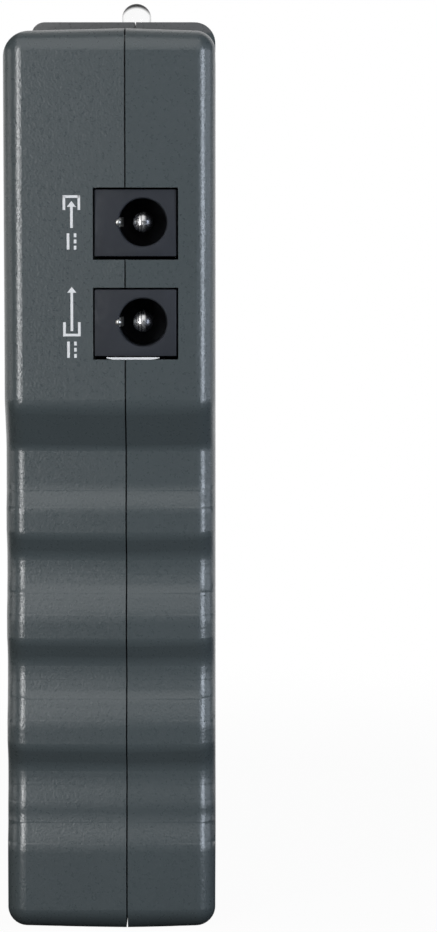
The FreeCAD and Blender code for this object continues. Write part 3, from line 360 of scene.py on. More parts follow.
def plain_metal(name, color, roughness, scratch_size, direction, depth):
    """Metal with fine lines along one axis."""
    f = Finish(name, color, roughness, metallic=1.0)
    stretch = tuple(0.06 if axis == direction else 1.0 for axis in "XYZ")
    lines = f.noise(scratch_size, 3.0, stretch)
    f.set("Base Color", f.shade(f.noise(scratch_size * 20, 2.0), 0.1))
    f.set("Roughness", f.ramp(lines, 0.3, 0.7, roughness * 0.7, roughness * 1.4))
    f.bump(lines, depth)
    return f


@cache
def pin_metal():
    """Bright plated turning with faint tool rings."""
    f = plain_metal("pin_metal", RECORD_COLORS["pin_metal"], 0.16, 0.2 * MM, "X", 0.002 * MM)
    f.bump(f.waves(0.5 * MM, "X"), 0.003 * MM)
    return f.material


@cache
def pin_tip():
    """Plated split pin, painted dark towards the back of the case as painted shade where no lamp is
    mirrored, with its two slots painted as dark stripes of painted shade.
    """
    look = settings().jack_look
    centre = middle("dc_in_pin").y
    f = plain_metal("pin_tip", RECORD_COLORS["pin_metal"], look.pin_roughness, 0.2 * MM, "X",
                    0.0004 * MM)
    y = f.axis("Y")
    # Painted shade: the tip's colour turns dark towards the back of the case, and two dark stripes
    # are painted where the slots would lie in shade.
    dull = f.ramp(y, centre + 0.1 * MM, centre + 0.5 * MM) * 0.9
    for n in range(2):
        slot = centre - look.pin_slot_shift + n * look.pin_slot_step
        away = (y - slot).math("ABSOLUTE")
        dull = dull.math("MAXIMUM", f.ramp(away, look.pin_slot * 0.7, look.pin_slot * 0.3) * 0.8)
    dull = dull + f.noise(0.5 * MM) * 0.1
    f.set("Base Color", f.mix(dull, (0.97, 0.97, 0.97), (0.08, 0.08, 0.09)))
    return f.material


@cache
def shield_steel():
    """Tinned sheet with a faint crystal pattern."""
    f = plain_metal("shield_steel", RECORD_COLORS["shield_steel"], 0.3, 0.15 * MM, "X", 0.003 * MM)
    f.set("Base Color", f.shade(f.cells(2.5 * MM, output="Color"), 0.12))
    return f.material


@cache
def screw_steel():
    """Dulled zinc plating."""
    f = plain_metal("screw_steel", RECORD_COLORS["screw_steel"], 0.38, 0.3 * MM, "Y", 0.004 * MM)
    f.bump(f.noise(0.6 * MM, 3.0), 0.01 * MM)
    return f.material


@cache
def board_green():
    """Solder mask over a grid of traces, painted nearly black towards its edges as painted shade
    along the case walls.
    """
    f = Finish("board_green", RECORD_COLORS["board_green"], 0.35, Coat_Weight=0.3)
    lanes = f.node("ShaderNodeTexBrick", {"Vector": f.node("ShaderNodeMapping", {
        0: f.place, "Rotation": (QUARTER, 0.0, 0.0)}), "Scale": 1 / (4 * MM),
        "Mortar Size": 0.05, "Mortar Smooth": 0.2}, output="Fac")
    tracks = lanes * f.ramp(f.noise(6 * MM, 1.0), 0.42, 0.5)
    lighter = [channel * 2.2 for channel in f.color]
    # Painted shade: the board turns nearly black towards its edges along the case walls.
    edge = f.ramp(f.axis("X").math("ABSOLUTE"), high("main_board").x - 3 * MM,
                  high("main_board").x - 1.5 * MM)
    f.set("Base Color", f.mix(edge, f.mix(tracks, f.color, lighter), (0.004, 0.006, 0.005)))
    f.bump(tracks, 0.03 * MM)
    f.bump(f.noise(0.4 * MM), 0.004 * MM)
    return f.material


@cache
def battery_wrap():
    """Plain dark wrap with a bright band near its head."""
    f = Finish("battery_wrap", RECORD_COLORS["battery_wrap"], 0.3, metallic=0.4)
    band = f.ramp(f.axis("Z"), high("battery").z - 14 * MM, high("battery").z - 13.6 * MM)
    copper = f.mix(band, f.color, (0.55, 0.33, 0.16))
    f.set("Base Color", copper)
    f.set("Roughness", f.ramp(f.noise(3 * MM), 0.3, 0.7, 0.24, 0.38))
    f.bump(f.noise(1.2 * MM), 0.02 * MM)
    return f.material


def clear_resin(name, color, roughness, bending=1.5):
    """Cast resin with faint ripples."""
    f = Finish(name, color, roughness, Transmission_Weight=1.0, IOR=bending)
    f.set("Roughness", f.ramp(f.noise(1.0 * MM), 0.3, 0.7, roughness * 0.6, roughness * 1.6))
    f.bump(f.noise(1.4 * MM, 1.0), 0.006 * MM)
    return f


@cache
def clear_lens():
    """Water-clear resin of the lamp on the crown, with a painted dark cap and painted dark sides
    that stand for the dark case seen through the lens.
    """
    look = settings().lamp_look
    f = clear_resin("clear_lens", look.color, 0.03, look.bending)
    centre = middle("top_lamp")
    radius = extent("top_lamp").x / 2 - look.flange
    dome_z = high("top_lamp").z - radius
    # Painted shade: a dark cap at the top and dark sides are painted into the resin's colour in
    # place of the dark case seen through the lens.
    cap = f.ramp(away_from(f, centre.y, dome_z - look.painted_crescent), radius,
                 radius + 0.45 * look.painted_crescent)
    rim = f.ramp(away_from(f, centre.y, dome_z), radius - 0.35 * MM, radius - 0.05 * MM)
    dark = cap.math("MAXIMUM", rim * look.outline) + f.noise(MM) * 0.05
    f.set("Base Color", f.mix(dark * 0.9, f.color, (0.1, 0.1, 0.1)))
    return f.material


def away_from(f, y, z):
    """Distance from a line along X."""
    flat = f.node("ShaderNodeVectorMath", {0: f.place, 1: (0.0, 1.0, 1.0)}, operation="MULTIPLY")
    return f.node("ShaderNodeVectorMath", {0: flat, 1: (0.0, y, z)}, output="Value",
                  operation="DISTANCE")


# Finishes that need no more than the values of their maker.
PLAIN_FINISHES = {
    "key_plastic": (plain_moulding, 0.42, 0.2 * MM, 0.01 * MM),
    "chip_black": (plain_moulding, 0.55, 0.12 * MM, 0.015 * MM),
    "spring_metal": (plain_metal, 0.4, 0.1 * MM, "X", 0.0003 * MM),
    "contact_gold": (plain_metal, 0.22, 0.08 * MM, "X", 0.002 * MM),
    "can_aluminium": (plain_metal, 0.32, 0.2 * MM, "Y", 0.004 * MM),
    "lamp_green": (clear_resin, 0.12),
    "lamp_red": (clear_resin, 0.12),
}


@cache
def plain_finish(slot):
    """One of the finishes in the table above."""
    maker, *values = PLAIN_FINISHES[slot]
    return maker(slot, RECORD_COLORS[slot], *values).material


# Mesh building.

def add_object(name, mesh, material=None):
    """Put a mesh into the scene under a name, with its material."""
    piece = bpy.data.objects.new(name, mesh)
    bpy.context.scene.collection.objects.link(piece)
    mesh.name = name
    if material is not None:
        mesh.materials.clear()
        mesh.materials.append(material)
    return piece


def mesh_from(name, build, material=None):
    """New object whose mesh a function fills, smooth but for its sharp edges."""
    shape = bmesh.new()
    build(shape)
    bmesh.ops.recalc_face_normals(shape, faces=shape.faces)
    mesh = bpy.data.meshes.new(name)
    shape.to_mesh(mesh)
    shape.free()
    smooth(mesh)
    return add_object(name, mesh, material)


def smooth(mesh):
    """Shade a mesh smoothly but for its sharp edges."""
    for face in mesh.polygons:
        face.use_smooth = True
    mesh.set_sharp_from_angle(angle=SHARP_ANGLE)


def merged_copy(node, name, material):
    """Closed copy of a solid's mesh, with its flat faces in one piece."""
    mesh = frame["nodes"][node].data.copy()
    if "custom_normal" in mesh.attributes:
        mesh.attributes.remove(mesh.attributes["custom_normal"])
    shape = bmesh.new()
    shape.from_mesh(mesh)
    bmesh.ops.remove_doubles(shape, verts=shape.verts, dist=WELD)
    bmesh.ops.dissolve_limit(shape, angle_limit=FLAT_ANGLE, verts=shape.verts, edges=shape.edges)
    for edge in shape.edges:
        edge.smooth = True
    shape.to_mesh(mesh)
    shape.free()
    smooth(mesh)
    return add_object(name, mesh, material)


def bevelled(piece, width):
    """Round the sharp edges of a piece and keep the result as a plain mesh."""
    bevel = piece.modifiers.new("edges", "BEVEL")
    bevel.width = width
    bevel.segments = 2
    bevel.limit_method = "ANGLE"
    bevel.angle_limit = BEVEL_ANGLE
    return baked(piece)


def baked(piece):
    """Turn a piece with modifiers into a plain mesh."""
    graph = bpy.context.evaluated_depsgraph_get()
    mesh = bpy.data.meshes.new_from_object(piece.evaluated_get(graph))
    old = piece.data
    piece.modifiers.clear()
    piece.data = mesh
    bpy.data.meshes.remove(old)
    mesh.name = piece.name
    smooth(mesh)
    return piece


def combined(piece, operation, *tools):
    """Cut other objects out of a piece, or join them onto it."""
    for tool in tools:
        step = piece.modifiers.new("combine", "BOOLEAN")
        step.operation = operation
        step.solver = "EXACT"
        step.object = tool
    baked(piece)
    for tool in tools:
        bpy.data.objects.remove(tool)


def box_piece(name, corner, opposite):
    """Block between two corners."""
    corner, opposite = Vector(corner), Vector(opposite)
    size = Matrix.Diagonal((*map(abs, opposite - corner), 1.0))
    place = Matrix.Translation((corner + opposite) / 2) @ size
    return mesh_from(name, lambda shape: bmesh.ops.create_cube(shape, size=1.0, matrix=place))


# Turns of a profile along Z onto the named axis.
DIRECTIONS = {
    "x": Matrix(((0, 0, 1), (1, 0, 0), (0, 1, 0))).to_4x4(),
    "y": Matrix(((0, 1, 0), (0, 0, 1), (1, 0, 0))).to_4x4(),
    "z": Matrix.Identity(4),
}


def turned_piece(name, profile, direction, origin, material=None, segments=64):
    """Profile of (radius, height) points, turned round an axis."""
    def turn(shape):
        corners = [shape.verts.new((radius, 0.0, height)) for radius, height in profile]
        edges = [shape.edges.new(pair) for pair in zip(corners, corners[1:])]
        bmesh.ops.spin(shape, geom=corners + edges, cent=(0, 0, 0), axis=(0, 0, 1),
                       angle=math.tau, steps=segments, use_merge=True)
        bmesh.ops.remove_doubles(shape, verts=shape.verts, dist=WELD)
        bmesh.ops.transform(shape, matrix=Matrix.Translation(origin) @ DIRECTIONS[direction],
                            verts=shape.verts)
    return mesh_from(name, turn, material)


def add_lofted(shape, rings):
    """Closed skin over rings of as many places each."""
    layers = [[shape.verts.new(place) for place in ring] for ring in rings]
    for first, second in zip(layers, layers[1:]):
        for n in range(len(first)):
            after = (n + 1) % len(first)
            shape.faces.new((first[n], first[after], second[after], second[n]))
    shape.faces.new(layers[0])
    shape.faces.new(layers[-1])


def quarter_arc(radius, count, rise=0.0):
    """Points on a quarter of a circle, from its side to its top."""
    angles = [QUARTER * step / count for step in range(count + 1)]
    return [(radius * math.cos(angle), rise + radius * math.sin(angle)) for angle in angles]


def settle(piece, body, slot, *nodes):
    """Tie a finished piece to its body and hide the solids that it stands for; the slot is not
    used.
    """
    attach(piece, body)
    if nodes:
        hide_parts(*nodes)
    return piece


def dress(material, *nodes):
    """Give solids that stay their finish."""
    for node in nodes:
        for slot in frame["nodes"][node].material_slots:
            slot.material = material


# Geometry Nodes building.

class Recipe(Tree):
    """A tree of Geometry Nodes with named inputs for its sizes."""

    def __init__(self, name, sizes):
        super().__init__(bpy.data.node_groups.new(name, "GeometryNodeTree"))
        interface = self.tree.interface
        interface.new_socket("Geometry", in_out="INPUT", socket_type="NodeSocketGeometry")
        interface.new_socket("Geometry", in_out="OUTPUT", socket_type="NodeSocketGeometry")
        self.identifiers = {}
        for label, value in sizes.items():
            kind = "NodeSocketInt" if isinstance(value, int) else "NodeSocketFloat"
            socket = interface.new_socket(label, in_out="INPUT", socket_type=kind)
            socket.default_value = value
            self.identifiers[label] = socket.identifier
        self.start = self.tree.nodes.new("NodeGroupInput")
        self.end = self.tree.nodes.new("NodeGroupOutput")
        self.sizes = sizes

    def given(self, label):
        """One of the named inputs."""
        return Signal(self, self.start.outputs[label])

    def vector(self, x=0.0, y=0.0, z=0.0):
        """Three numbers or signals as one place."""
        return self.node("ShaderNodeCombineXYZ", {0: x, 1: y, 2: z})

    def moved(self, geometry, x=0.0, y=0.0, z=0.0, turn=(0.0, 0.0, 0.0)):
        """Geometry that is turned and then shifted."""
        return self.node("GeometryNodeTransform", {"Geometry": geometry,
                                                   "Translation": self.vector(x, y, z),
                                                   "Rotation": turn})

    def rod(self, radius, depth, sides):
        """Round bar along Z round the origin."""
        return self.node("GeometryNodeMeshCylinder", {"Radius": radius, "Depth": depth,
                                                      "Vertices": sides})

    def joined(self, *geometries):
        """Several geometries as one."""
        return self.node("GeometryNodeJoinGeometry", {0: list(geometries)})

    def on_points(self, geometry, points=None):
        """Copies of a geometry on points, or else on those that the tree is given."""
        return self.node("GeometryNodeInstanceOnPoints", {
            "Points": points or self.given("Geometry"), "Instance": geometry})

    def close(self, geometry, material):
        """End the tree in real geometry with its material."""
        real = self.node("GeometryNodeRealizeInstances", {0: geometry})
        painted = self.node("GeometryNodeSetMaterial", {"Geometry": real, "Material": material})
        self.link(self.end.inputs[0], painted)

    def serve(self, name, points):
        """Run the tree on points and give the result as a plain object."""
        mesh = bpy.data.meshes.new(name)
        mesh.from_pydata([tuple(point) for point in points], [], [])
        piece = add_object(name, mesh)
        modifier = piece.modifiers.new("recipe", "NODES")
        modifier.node_group = self.tree
        for label, value in self.sizes.items():
            modifier[self.identifiers[label]] = value
        graph = bpy.context.evaluated_depsgraph_get()
        result = bpy.data.meshes.new_from_object(piece.evaluated_get(graph))
        piece.modifiers.remove(modifier)
        bpy.data.objects.remove(piece)
        bpy.data.meshes.remove(mesh)
        smooth(result)
        return add_object(name, result)


# Values that the user sets.

class CaseLook(bpy.types.PropertyGroup):
    color: tint("Colour", "Colour of the case", RECORD_COLORS["case_plastic"])
    roughness: share("Roughness", "How dull the case is", 0.3)
    gloss: share("Gloss", "How strongly the case reflects", 1.0)
    variation: share("Variation", "How much the colour varies", 0.1)
    cloud_size: mm("Clouds", "Size of the faint clouds", 9.0)
    speck_size: mm("Specks", "Size of the fine specks", 0.25)
    grain_size: mm("Grain", "Size of the moulded grain", 0.25)
    grain_depth: mm("Grain depth", "Depth of the moulded grain", 0.016)
    # Painted light: above this height the case is painted paler in place of light on the crown.
    lit_crown_start: mm("Crown start", "Height above which the case is paler", 124.95)
    # Painted shade: up to this height the case is painted darker towards its foot.
    painted_shade_height: mm("Foot shade", "Height up to which the case is darker", 3.4)
    slope_round: mm("Slope round", "Radius at the ends of a slope of the flank", 0.8)
    slope_reach: share("Slope reach", "Length of a softened slope as a share of its run", 2.1)
    flank_start: mm("Flank start", "Distance from the middle at which the flank begins", 28.5)


class PrintLook(bpy.types.PropertyGroup):
    offset: mm("Offset", "Front side of a power jack to the middle of its print", 3.2)
    stroke: mm("Stroke", "Width of the printed lines", 0.36)
    height: mm("Height", "Height of a printed sign", 2.4)
    in_length: mm("In length", "Length of the upper sign", 7.4)
    out_length: mm("Out length", "Length of the lower sign", 9.7)
    thickness: mm("Thickness", "Thickness of the ink", 0.015)


class JackLook(bpy.types.PropertyGroup):
    color: tint("Colour", "Colour of the jack housings", (0.033, 0.037, 0.046))
    roughness: share("Roughness", "How dull the housings are", 0.55)
    gloss: share("Gloss", "How strongly the housings reflect", 0.3)
    side_skin: mm("Side skin", "How far a housing reaches past its solid at the sides", 0.1)
    foot_skin: mm("Foot skin", "How far a housing reaches past its solid at the foot", 0.13)
    lip: mm("Lip", "Front side of the bore past the leaf of the side contact", 0.28)
    edge: mm("Edge", "Round on the edges of a housing", 0.12)
    bore_edge: mm("Bore edge", "Bevel at the mouth of the bore", 0.15)
    notch_width: mm("Notch width", "Notch for the nose of the side contact", 0.7)
    nose: mm("Nose", "Radius of the nose of the side contact", 0.42)
    pin_radius: mm("Pin radius", "Radius of the centre pin", 1.36)
    # The pin's slots are painted dark stripes, painted shade in place of cut slots.
    pin_slot: mm("Pin slot", "Width of the two slots in the tip of the centre pin", 0.14)
    pin_slot_shift: mm("Pin slot shift", "Outer slot to the axis of the pin", 0.62)
    pin_slot_step: mm("Pin slot step", "Slot to slot", 0.4)
    pin_roughness: share("Pin roughness", "How dull the tip of the pin is", 0.3)
    pin_dome: share("Pin dome", "Height of the pin's tip as a share of its radius", 0.75)
    shoulder: mm("Shoulder", "How far a housing stands out behind the wall", 0.3)


class LampLook(bpy.types.PropertyGroup):
    color: tint("Colour", "Colour of the clear lamp", (0.97, 0.97, 0.97))
    cup_radius: mm("Cup", "Radius of the mirror cup in a lamp", 0.9)
    flange: mm("Flange", "How far the foot of the lamp stands out", 0.48)
    bending: share("Bending", "How strongly the clear resin bends light", 1.07)
    # Painted shade: these two values set the dark cap and dark sides that are painted into the
    # clear resin in place of the dark case seen through it.
    painted_crescent: mm("Crescent", "Thickness of the darker cap in the resin", 0.85)
    outline: share("Outline", "How dark the sides of the resin are", 0.6)
    sides: IntProperty(name="Sides", description="Sides of a lens", default=64, min=12)


class NetworkLook(bpy.types.PropertyGroup):
    wire: mm("Wire", "Thickness of a contact wire", 0.34)
    pitch: mm("Pitch", "Contact wire to contact wire", 1.02)
    wires: IntProperty(name="Wires", description="Contact wires in a jack", default=8, min=1)
    finger_length: mm("Finger", "Length of the spring fingers of a shield", 5.0)
    finger_width: mm("Finger width", "Width of the spring fingers", 1.6)


class ScrewLook(bpy.types.PropertyGroup):
    recess_width: mm("Recess width", "Width of each bar of the cross recess", 0.62)
    recess_share: share("Recess share", "Length of the recess as a share of the head", 0.62)
    recess_depth: mm("Recess depth", "Depth of the cross recess", 1.0)


class KeyLook(bpy.types.PropertyGroup):
    dish: mm("Dish", "Depth of the dish in the key", 0.35)
    rim: mm("Rim", "Width of the rim round the dish", 0.9)


class StageLook(bpy.types.PropertyGroup):
    distance: mm("Distance", "Middle of the case to the camera", 539.3)
    side: mm("Side", "Camera to the middle plane of the case", 14.95)
    height: mm("Height", "Camera above the floor", 106.11)
    pitch: FloatProperty(name="Pitch", description="How far the camera looks down",
                         default=math.radians(4.652), subtype="ANGLE")
    lens: FloatProperty(name="Lens", description="Focal length of the camera", default=142.388,
                        unit="CAMERA")
    target: mm("Target", "Height at which the lamps aim", 60.0)
    key_power: share("Key power", "Lamp above and in front of the flank", 1.7)
    strip_power: share("Strip power", "Upright lamp before the left edge", 0.6)
    rim_power: share("Rim power", "Upright lamp beside the right edge", 0.62)
    side_power: share("Side power", "Lamp far to the right", 0.46)
    left_power: share("Left power", "Lamp far to the left", 0.28)
    top_power: share("Top power", "Lamp above the case", 0.2)
    surround: share("Surround", "Light from all sides", 0.04)
    floor_bounce: share("Floor bounce", "How much light the floor gives back", 0.07)
    floor_glow: share("Floor glow", "Share of the floor's own white before the camera", 0.96)
    shadow_reach: mm("Shadow reach", "How far from the case the floor keeps shadows", 260.0)


LOOKS = {
    "case_look": CaseLook, "print_look": PrintLook, "jack_look": JackLook, "lamp_look": LampLook,
    "network_look": NetworkLook, "screw_look": ScrewLook, "key_look": KeyLook,
    "stage_look": StageLook,
}


class TesterSettings(bpy.types.PropertyGroup):
    """Every value of the tester, one group for each kind of piece."""


for label, look_class in LOOKS.items():
    TesterSettings.__annotations__ = {**getattr(TesterSettings, "__annotations__", {}),
                                      label: PointerProperty(type=look_class)}


# Operators, one for each piece or group of like pieces.

class Builder(bpy.types.Operator):
    """Common part of all operators."""
    bl_options = {"REGISTER", "UNDO"}

    def execute(self, context):
        self.build(settings())
        return {"FINISHED"}


class TESTER_OT_case(Builder):
    """Finish the two shells and the battery door"""
    bl_idname = "tester.case"
    bl_label = "Case"

    def build(self, values):
        dress(case_plastic(), "front_shell", "back_shell", "battery_door")


class TESTER_OT_print(Builder):
    """Print the signs for power in and power out beside the jacks"""
    bl_idname = "tester.print"
    bl_label = "Print"

    def build(self, values):
        look = values.print_look
        flank = BVHTree.FromObject(frame["nodes"]["front_shell"],
                                   bpy.context.evaluated_depsgraph_get())
        centre_y = low("dc_in_jack").y - look.offset
        shape = bmesh.new()
        for node, length, inward in (("dc_in_pin", look.in_length, True),
                                     ("dc_out_pin", look.out_length, False)):
            for bar in sign_bars(look, length, inward):
                add_ink(shape, flank, bar, centre_y, middle(node).z - length / 2, look.thickness)
        bmesh.ops.recalc_face_normals(shape, faces=shape.faces)
        mesh = bpy.data.meshes.new("power_signs")
        shape.to_mesh(mesh)
        shape.free()
        settle(add_object("power_signs", mesh, strip_white()), CASE, "strip_white")


def sign_bars(look, length, inward):
    """Quads of one sign as corners (along, across), read from its foot upwards."""
    half = look.height / 2
    stroke = look.stroke
    line_length = 0.3 * look.in_length
    quads = [rectangle(0, line_length, 0.25 * half, 0.25 * half + stroke)]
    dash = line_length / 4.2
    for n in range(3):
        start = n * (line_length - dash) / 2
        quads.append(rectangle(start, start + dash, -0.25 * half - stroke, -0.25 * half))
    wall = length - stroke
    frame_start = length - 0.27 * length
    if inward:
        arrow_start, arrow_end = line_length + 2 * stroke, wall - 1.2 * stroke
        quads.append(rectangle(wall, length, -half, half))
    else:
        arrow_start, arrow_end = line_length + 4 * stroke, length
        wall = line_length + 2 * stroke
        frame_start = wall + 0.2 * length
        quads.append(rectangle(wall, wall + stroke, -half, half))
    lip_from, lip_to = (frame_start, length) if inward else (wall, frame_start)
    quads.append(rectangle(lip_from, lip_to, half - stroke, half))
    quads.append(rectangle(lip_from, lip_to, -half, -half + stroke))
    head = 2.2 * stroke
    quads.append(rectangle(arrow_start, arrow_end - head, -stroke / 2, stroke / 2))
    quads.append([(arrow_end - head, -head * 0.8), (arrow_end, -0.02 * stroke),
                  (arrow_end, 0.02 * stroke), (arrow_end - head, head * 0.8)])
    return quads


def rectangle(start, end, bottom, top):
    """Four corners of a printed bar."""
    return [(start, bottom), (end, bottom), (end, top), (start, top)]


def add_ink(shape, flank, quad, centre_y, foot_z, thickness, step=0.8 * MM):
    """Lay one quad of ink on the flank, in short pieces that follow it."""
    a, b, c, d = [Vector(corner) for corner in quad]
    length = max((b - a).length, (c - d).length)
    pieces = max(1, round(length / step))
    rows = []
    for n in range(pieces + 1):
        part = n / pieces
        row = []
        for along, across in (a.lerp(b, part), d.lerp(c, part)):
            place = Vector((0.1, centre_y - across, foot_z + along))
            hit = flank.ray_cast(place, Vector((-1, 0, 0)))[0]
            row.append((shape.verts.new(hit + Vector((-thickness, 0, 0))),
                        shape.verts.new(hit + Vector((thickness, 0, 0)))))
        rows.append(row)
    for (lower, upper) in zip(rows, rows[1:]):
        (a0, a1), (b0, b1) = lower
        (c0, c1), (d0, d1) = upper
        for face in ((a1, b1, d1, c1), (a0, c0, d0, b0), (a0, a1, c1, c0), (b0, d0, d1, b1)):
            shape.faces.new(face)
    for (a0, a1), (b0, b1) in (rows[0], rows[-1]):
        shape.faces.new((a0, b0, b1, a1))


class TESTER_OT_power_jacks(Builder):
    """Make the two power jacks with their pins and side contacts"""
    bl_idname = "tester.power_jacks"
    bl_label = "Power jacks"

    def build(self, values):
        for name in ("dc_in", "dc_out"):
            power_jack(name, values.jack_look)
        self.strip()

    def strip(self):
        """White strip under the lower jack, thinner towards its ends; it stands for painted light,
        the bright gap under the jack.
        """
        node = "jack_strip"
        corner, opposite = low(node), high(node)
        taper = 0.14 * (opposite.y - corner.y)
        lip = opposite.z - 0.1 * MM
        outline = [(corner.y, opposite.z), (opposite.y, opposite.z), (opposite.y, lip),
                   (opposite.y - taper, corner.z), (corner.y + taper, corner.z - 0.06 * MM),
                   (corner.y, lip)]
        rings = [[(x, y, z) for y, z in outline] for x in (corner.x, opposite.x)]
        piece = mesh_from("white_strip", lambda shape: add_lofted(shape, rings), strip_white())
        settle(piece, CASE, "strip_white", node)


def power_jack(name, look):
    """Housing, pin and side contact of one power jack."""
    jack = name + "_jack"
    pin = name + "_pin"
    face = high(jack).x
    centre = middle(pin)
    floor = low(pin).x
    pin_radius = look.pin_radius
    contact = name + "_contact"
    leaf_reach = 0.45 * MM
    bore_radius = centre.y - high(contact).y + 2 * leaf_reach - look.lip
    skin = Vector((0, look.side_skin, 0))
    foot = low(jack) - skin - Vector((0, 0, look.foot_skin))
    housing = bevelled(box_piece(name + "_housing", foot, high(jack) + skin), look.edge)
    broad = Vector((0, look.shoulder, 0))
    shoulder = box_piece("shoulder", Vector((face - 8 * MM, low(jack).y, low(jack).z)) - broad,
                         Vector((face - 2.5 * MM, high(jack).y, high(jack).z)) + broad)
    combined(housing, "UNION", shoulder)
    depth = face - floor
    bore = turned_piece("bore", [
        (0, 0), (bore_radius, 0), (bore_radius, depth - look.bore_edge),
        (bore_radius + look.bore_edge, depth), (bore_radius + look.bore_edge, depth + MM),
        (0, depth + MM)], "x", (floor, centre.y, centre.z), segments=96)
    half_slot = extent(contact).z / 2
    slot = box_piece("slot", (floor, low(contact).y, centre.z - half_slot),
                     (high(contact).x, centre.y, centre.z + half_slot))
    notch_radius = look.notch_width / 2
    notch_depth = 2 * MM
    notch = turned_piece(
        "notch", [(0, 0), (notch_radius, 0), (notch_radius, notch_depth), (0, notch_depth)],
        "x", (face - 1.5 * MM, centre.y - bore_radius, centre.z), segments=32)
    combined(housing, "DIFFERENCE", bore, slot, notch)
    housing.data.materials.clear()
    housing.data.materials.append(jack_plastic())
    settle(housing, CASE, "jack_plastic", jack)

    tip = extent(pin).x
    rise = look.pin_dome * pin_radius
    dome = [(r, tip - rise + h * look.pin_dome) for r, h in quarter_arc(pin_radius, 24)]
    dome[-1] = (0, tip)
    post = turned_piece(name + "_post", [(0, 0), (pin_radius, 0), *dome],
                        "x", (floor, centre.y, centre.z), pin_tip(), 64)
    settle(post, CASE, "pin_metal", pin)
    side_contact(name, look, centre, floor, face, bore_radius)


def side_contact(name, look, centre, floor, face, bore_radius):
    """Bent leaf whose nose shows at the mouth of the bore."""
    node = name + "_contact"
    thickness = 0.3 * MM
    root = low(node).y
    crest = high(node).y - thickness
    path = [(floor, root), (floor + 3.0 * MM, root + 0.1 * MM), (floor + 5.2 * MM, crest),
            (floor + 6.4 * MM, crest), (face - 1.4 * MM, root + 0.1 * MM),
            (face - 0.55 * MM, root + 0.12 * MM)]
    half = extent(node).z * 0.42

    def build(shape):
        add_lofted(shape, [[(x, y + side * thickness, centre.z + up * half)
                            for side, up in ((0, -1), (1, -1), (1, 1), (0, 1))]
                           for x, y in path])
        nose = Matrix.Translation((face, centre.y - bore_radius - 0.06 * MM, centre.z))
        nose = nose @ Matrix.Diagonal((0.6, 1.0, 1.0, 1.0))
        bmesh.ops.create_uvsphere(shape, u_segments=32, v_segments=24, radius=look.nose,
                                  matrix=nose)

    leaf = mesh_from(name + "_spring", build, plain_finish("spring_metal"))
    settle(leaf, CASE, "spring_metal", node)


class TESTER_OT_network_jacks(Builder):
    """Make the shields, inserts and contact wires of the network jacks"""
    bl_idname = "tester.network_jacks"
    bl_label = "Network jacks"

    def build(self, values):
        look = values.network_look
        for name in ("lan_in", "lan_out"):
            shield = merged_copy(name + "_shield", name + "_can", shield_steel())
            settle(bevelled(shield, 0.1 * MM), CASE, "shield_steel", name + "_shield")
            insert = merged_copy(name + "_insert", name + "_moulding", jack_plastic())
            settle(bevelled(insert, 0.12 * MM), CASE, "jack_plastic", name + "_insert")
            self.fingers(name, look)
            self.wires(name, look)

    def fingers(self, name, look):
        """Two bent fingers on each side of a shield."""
        shield = name + "_shield"
        recipe = Recipe(name + "_fingers", {"Length": look.finger_length,
                                            "Width": look.finger_width})
        leaf = recipe.node("GeometryNodeMeshCube", {"Size": recipe.vector(
            recipe.given("Length"), 0.12 * MM, recipe.given("Width"))})
        dimple = recipe.moved(recipe.node("GeometryNodeMeshIcoSphere",
                                          {"Radius": 0.3 * MM, "Subdivisions": 3}), x=1.2 * MM)
        recipe.close(recipe.on_points(recipe.joined(leaf, dimple)), shield_steel())
        inside = low(shield).x + 5.5 * MM
        wall = 0.42 * MM
        spread = 4.6 * MM
        points = [(inside, y, middle(shield).z + offset)
                  for y in (low(shield).y + wall, high(shield).y - wall)
                  for offset in (-spread, spread)]
        settle(recipe.serve(name + "_fingers", points), CASE, "shield_steel")

    def wires(self, name, look):
        """Eight sprung wires in a row."""
        node = name + "_contacts"
        recipe = Recipe(name + "_wires", {"Pitch": look.pitch, "Wire": look.wire,
                                          "Wires": look.wires})
        seat = high(node).y - look.wire / 2
        corners = [(low(node).x, seat), (low(node).x + 1.4 * MM, seat),
                   (high(node).x - 1.2 * MM, low(node).y + look.wire),
                   (high(node).x - 0.4 * MM, low(node).y + look.wire / 2)]
        curve = None
        for first, second in zip(corners, corners[1:]):
            line = recipe.node("GeometryNodeCurvePrimitiveLine", {
                "Start": (first[0], first[1], 0.0), "End": (second[0], second[1], 0.0)})
            section = recipe.node("GeometryNodeCurvePrimitiveCircle", {
                "Resolution": 12, "Radius": recipe.given("Wire") * 0.5})
            tube = recipe.node("GeometryNodeCurveToMesh", {"Curve": line, "Profile Curve": section,
                                                           "Fill Caps": True})
            elbow = recipe.moved(recipe.node("GeometryNodeMeshIcoSphere", {
                "Radius": recipe.given("Wire") * 0.5, "Subdivisions": 2}),
                x=second[0], y=second[1])
            curve = recipe.joined(*[part for part in (curve, tube, elbow) if part is not None])
        row = recipe.node("GeometryNodeMeshLine", {
            "Count": recipe.given("Wires"), "Offset": recipe.vector(z=recipe.given("Pitch"))})
        recipe.close(recipe.on_points(curve, row), plain_finish("contact_gold"))
        start = middle(node).z - look.pitch * (look.wires - 1) / 2
        made = recipe.serve(name + "_springs", [(0, 0, 0)])
        made.data.transform(Matrix.Translation((0, 0, start)))
        settle(made, CASE, "contact_gold", node)


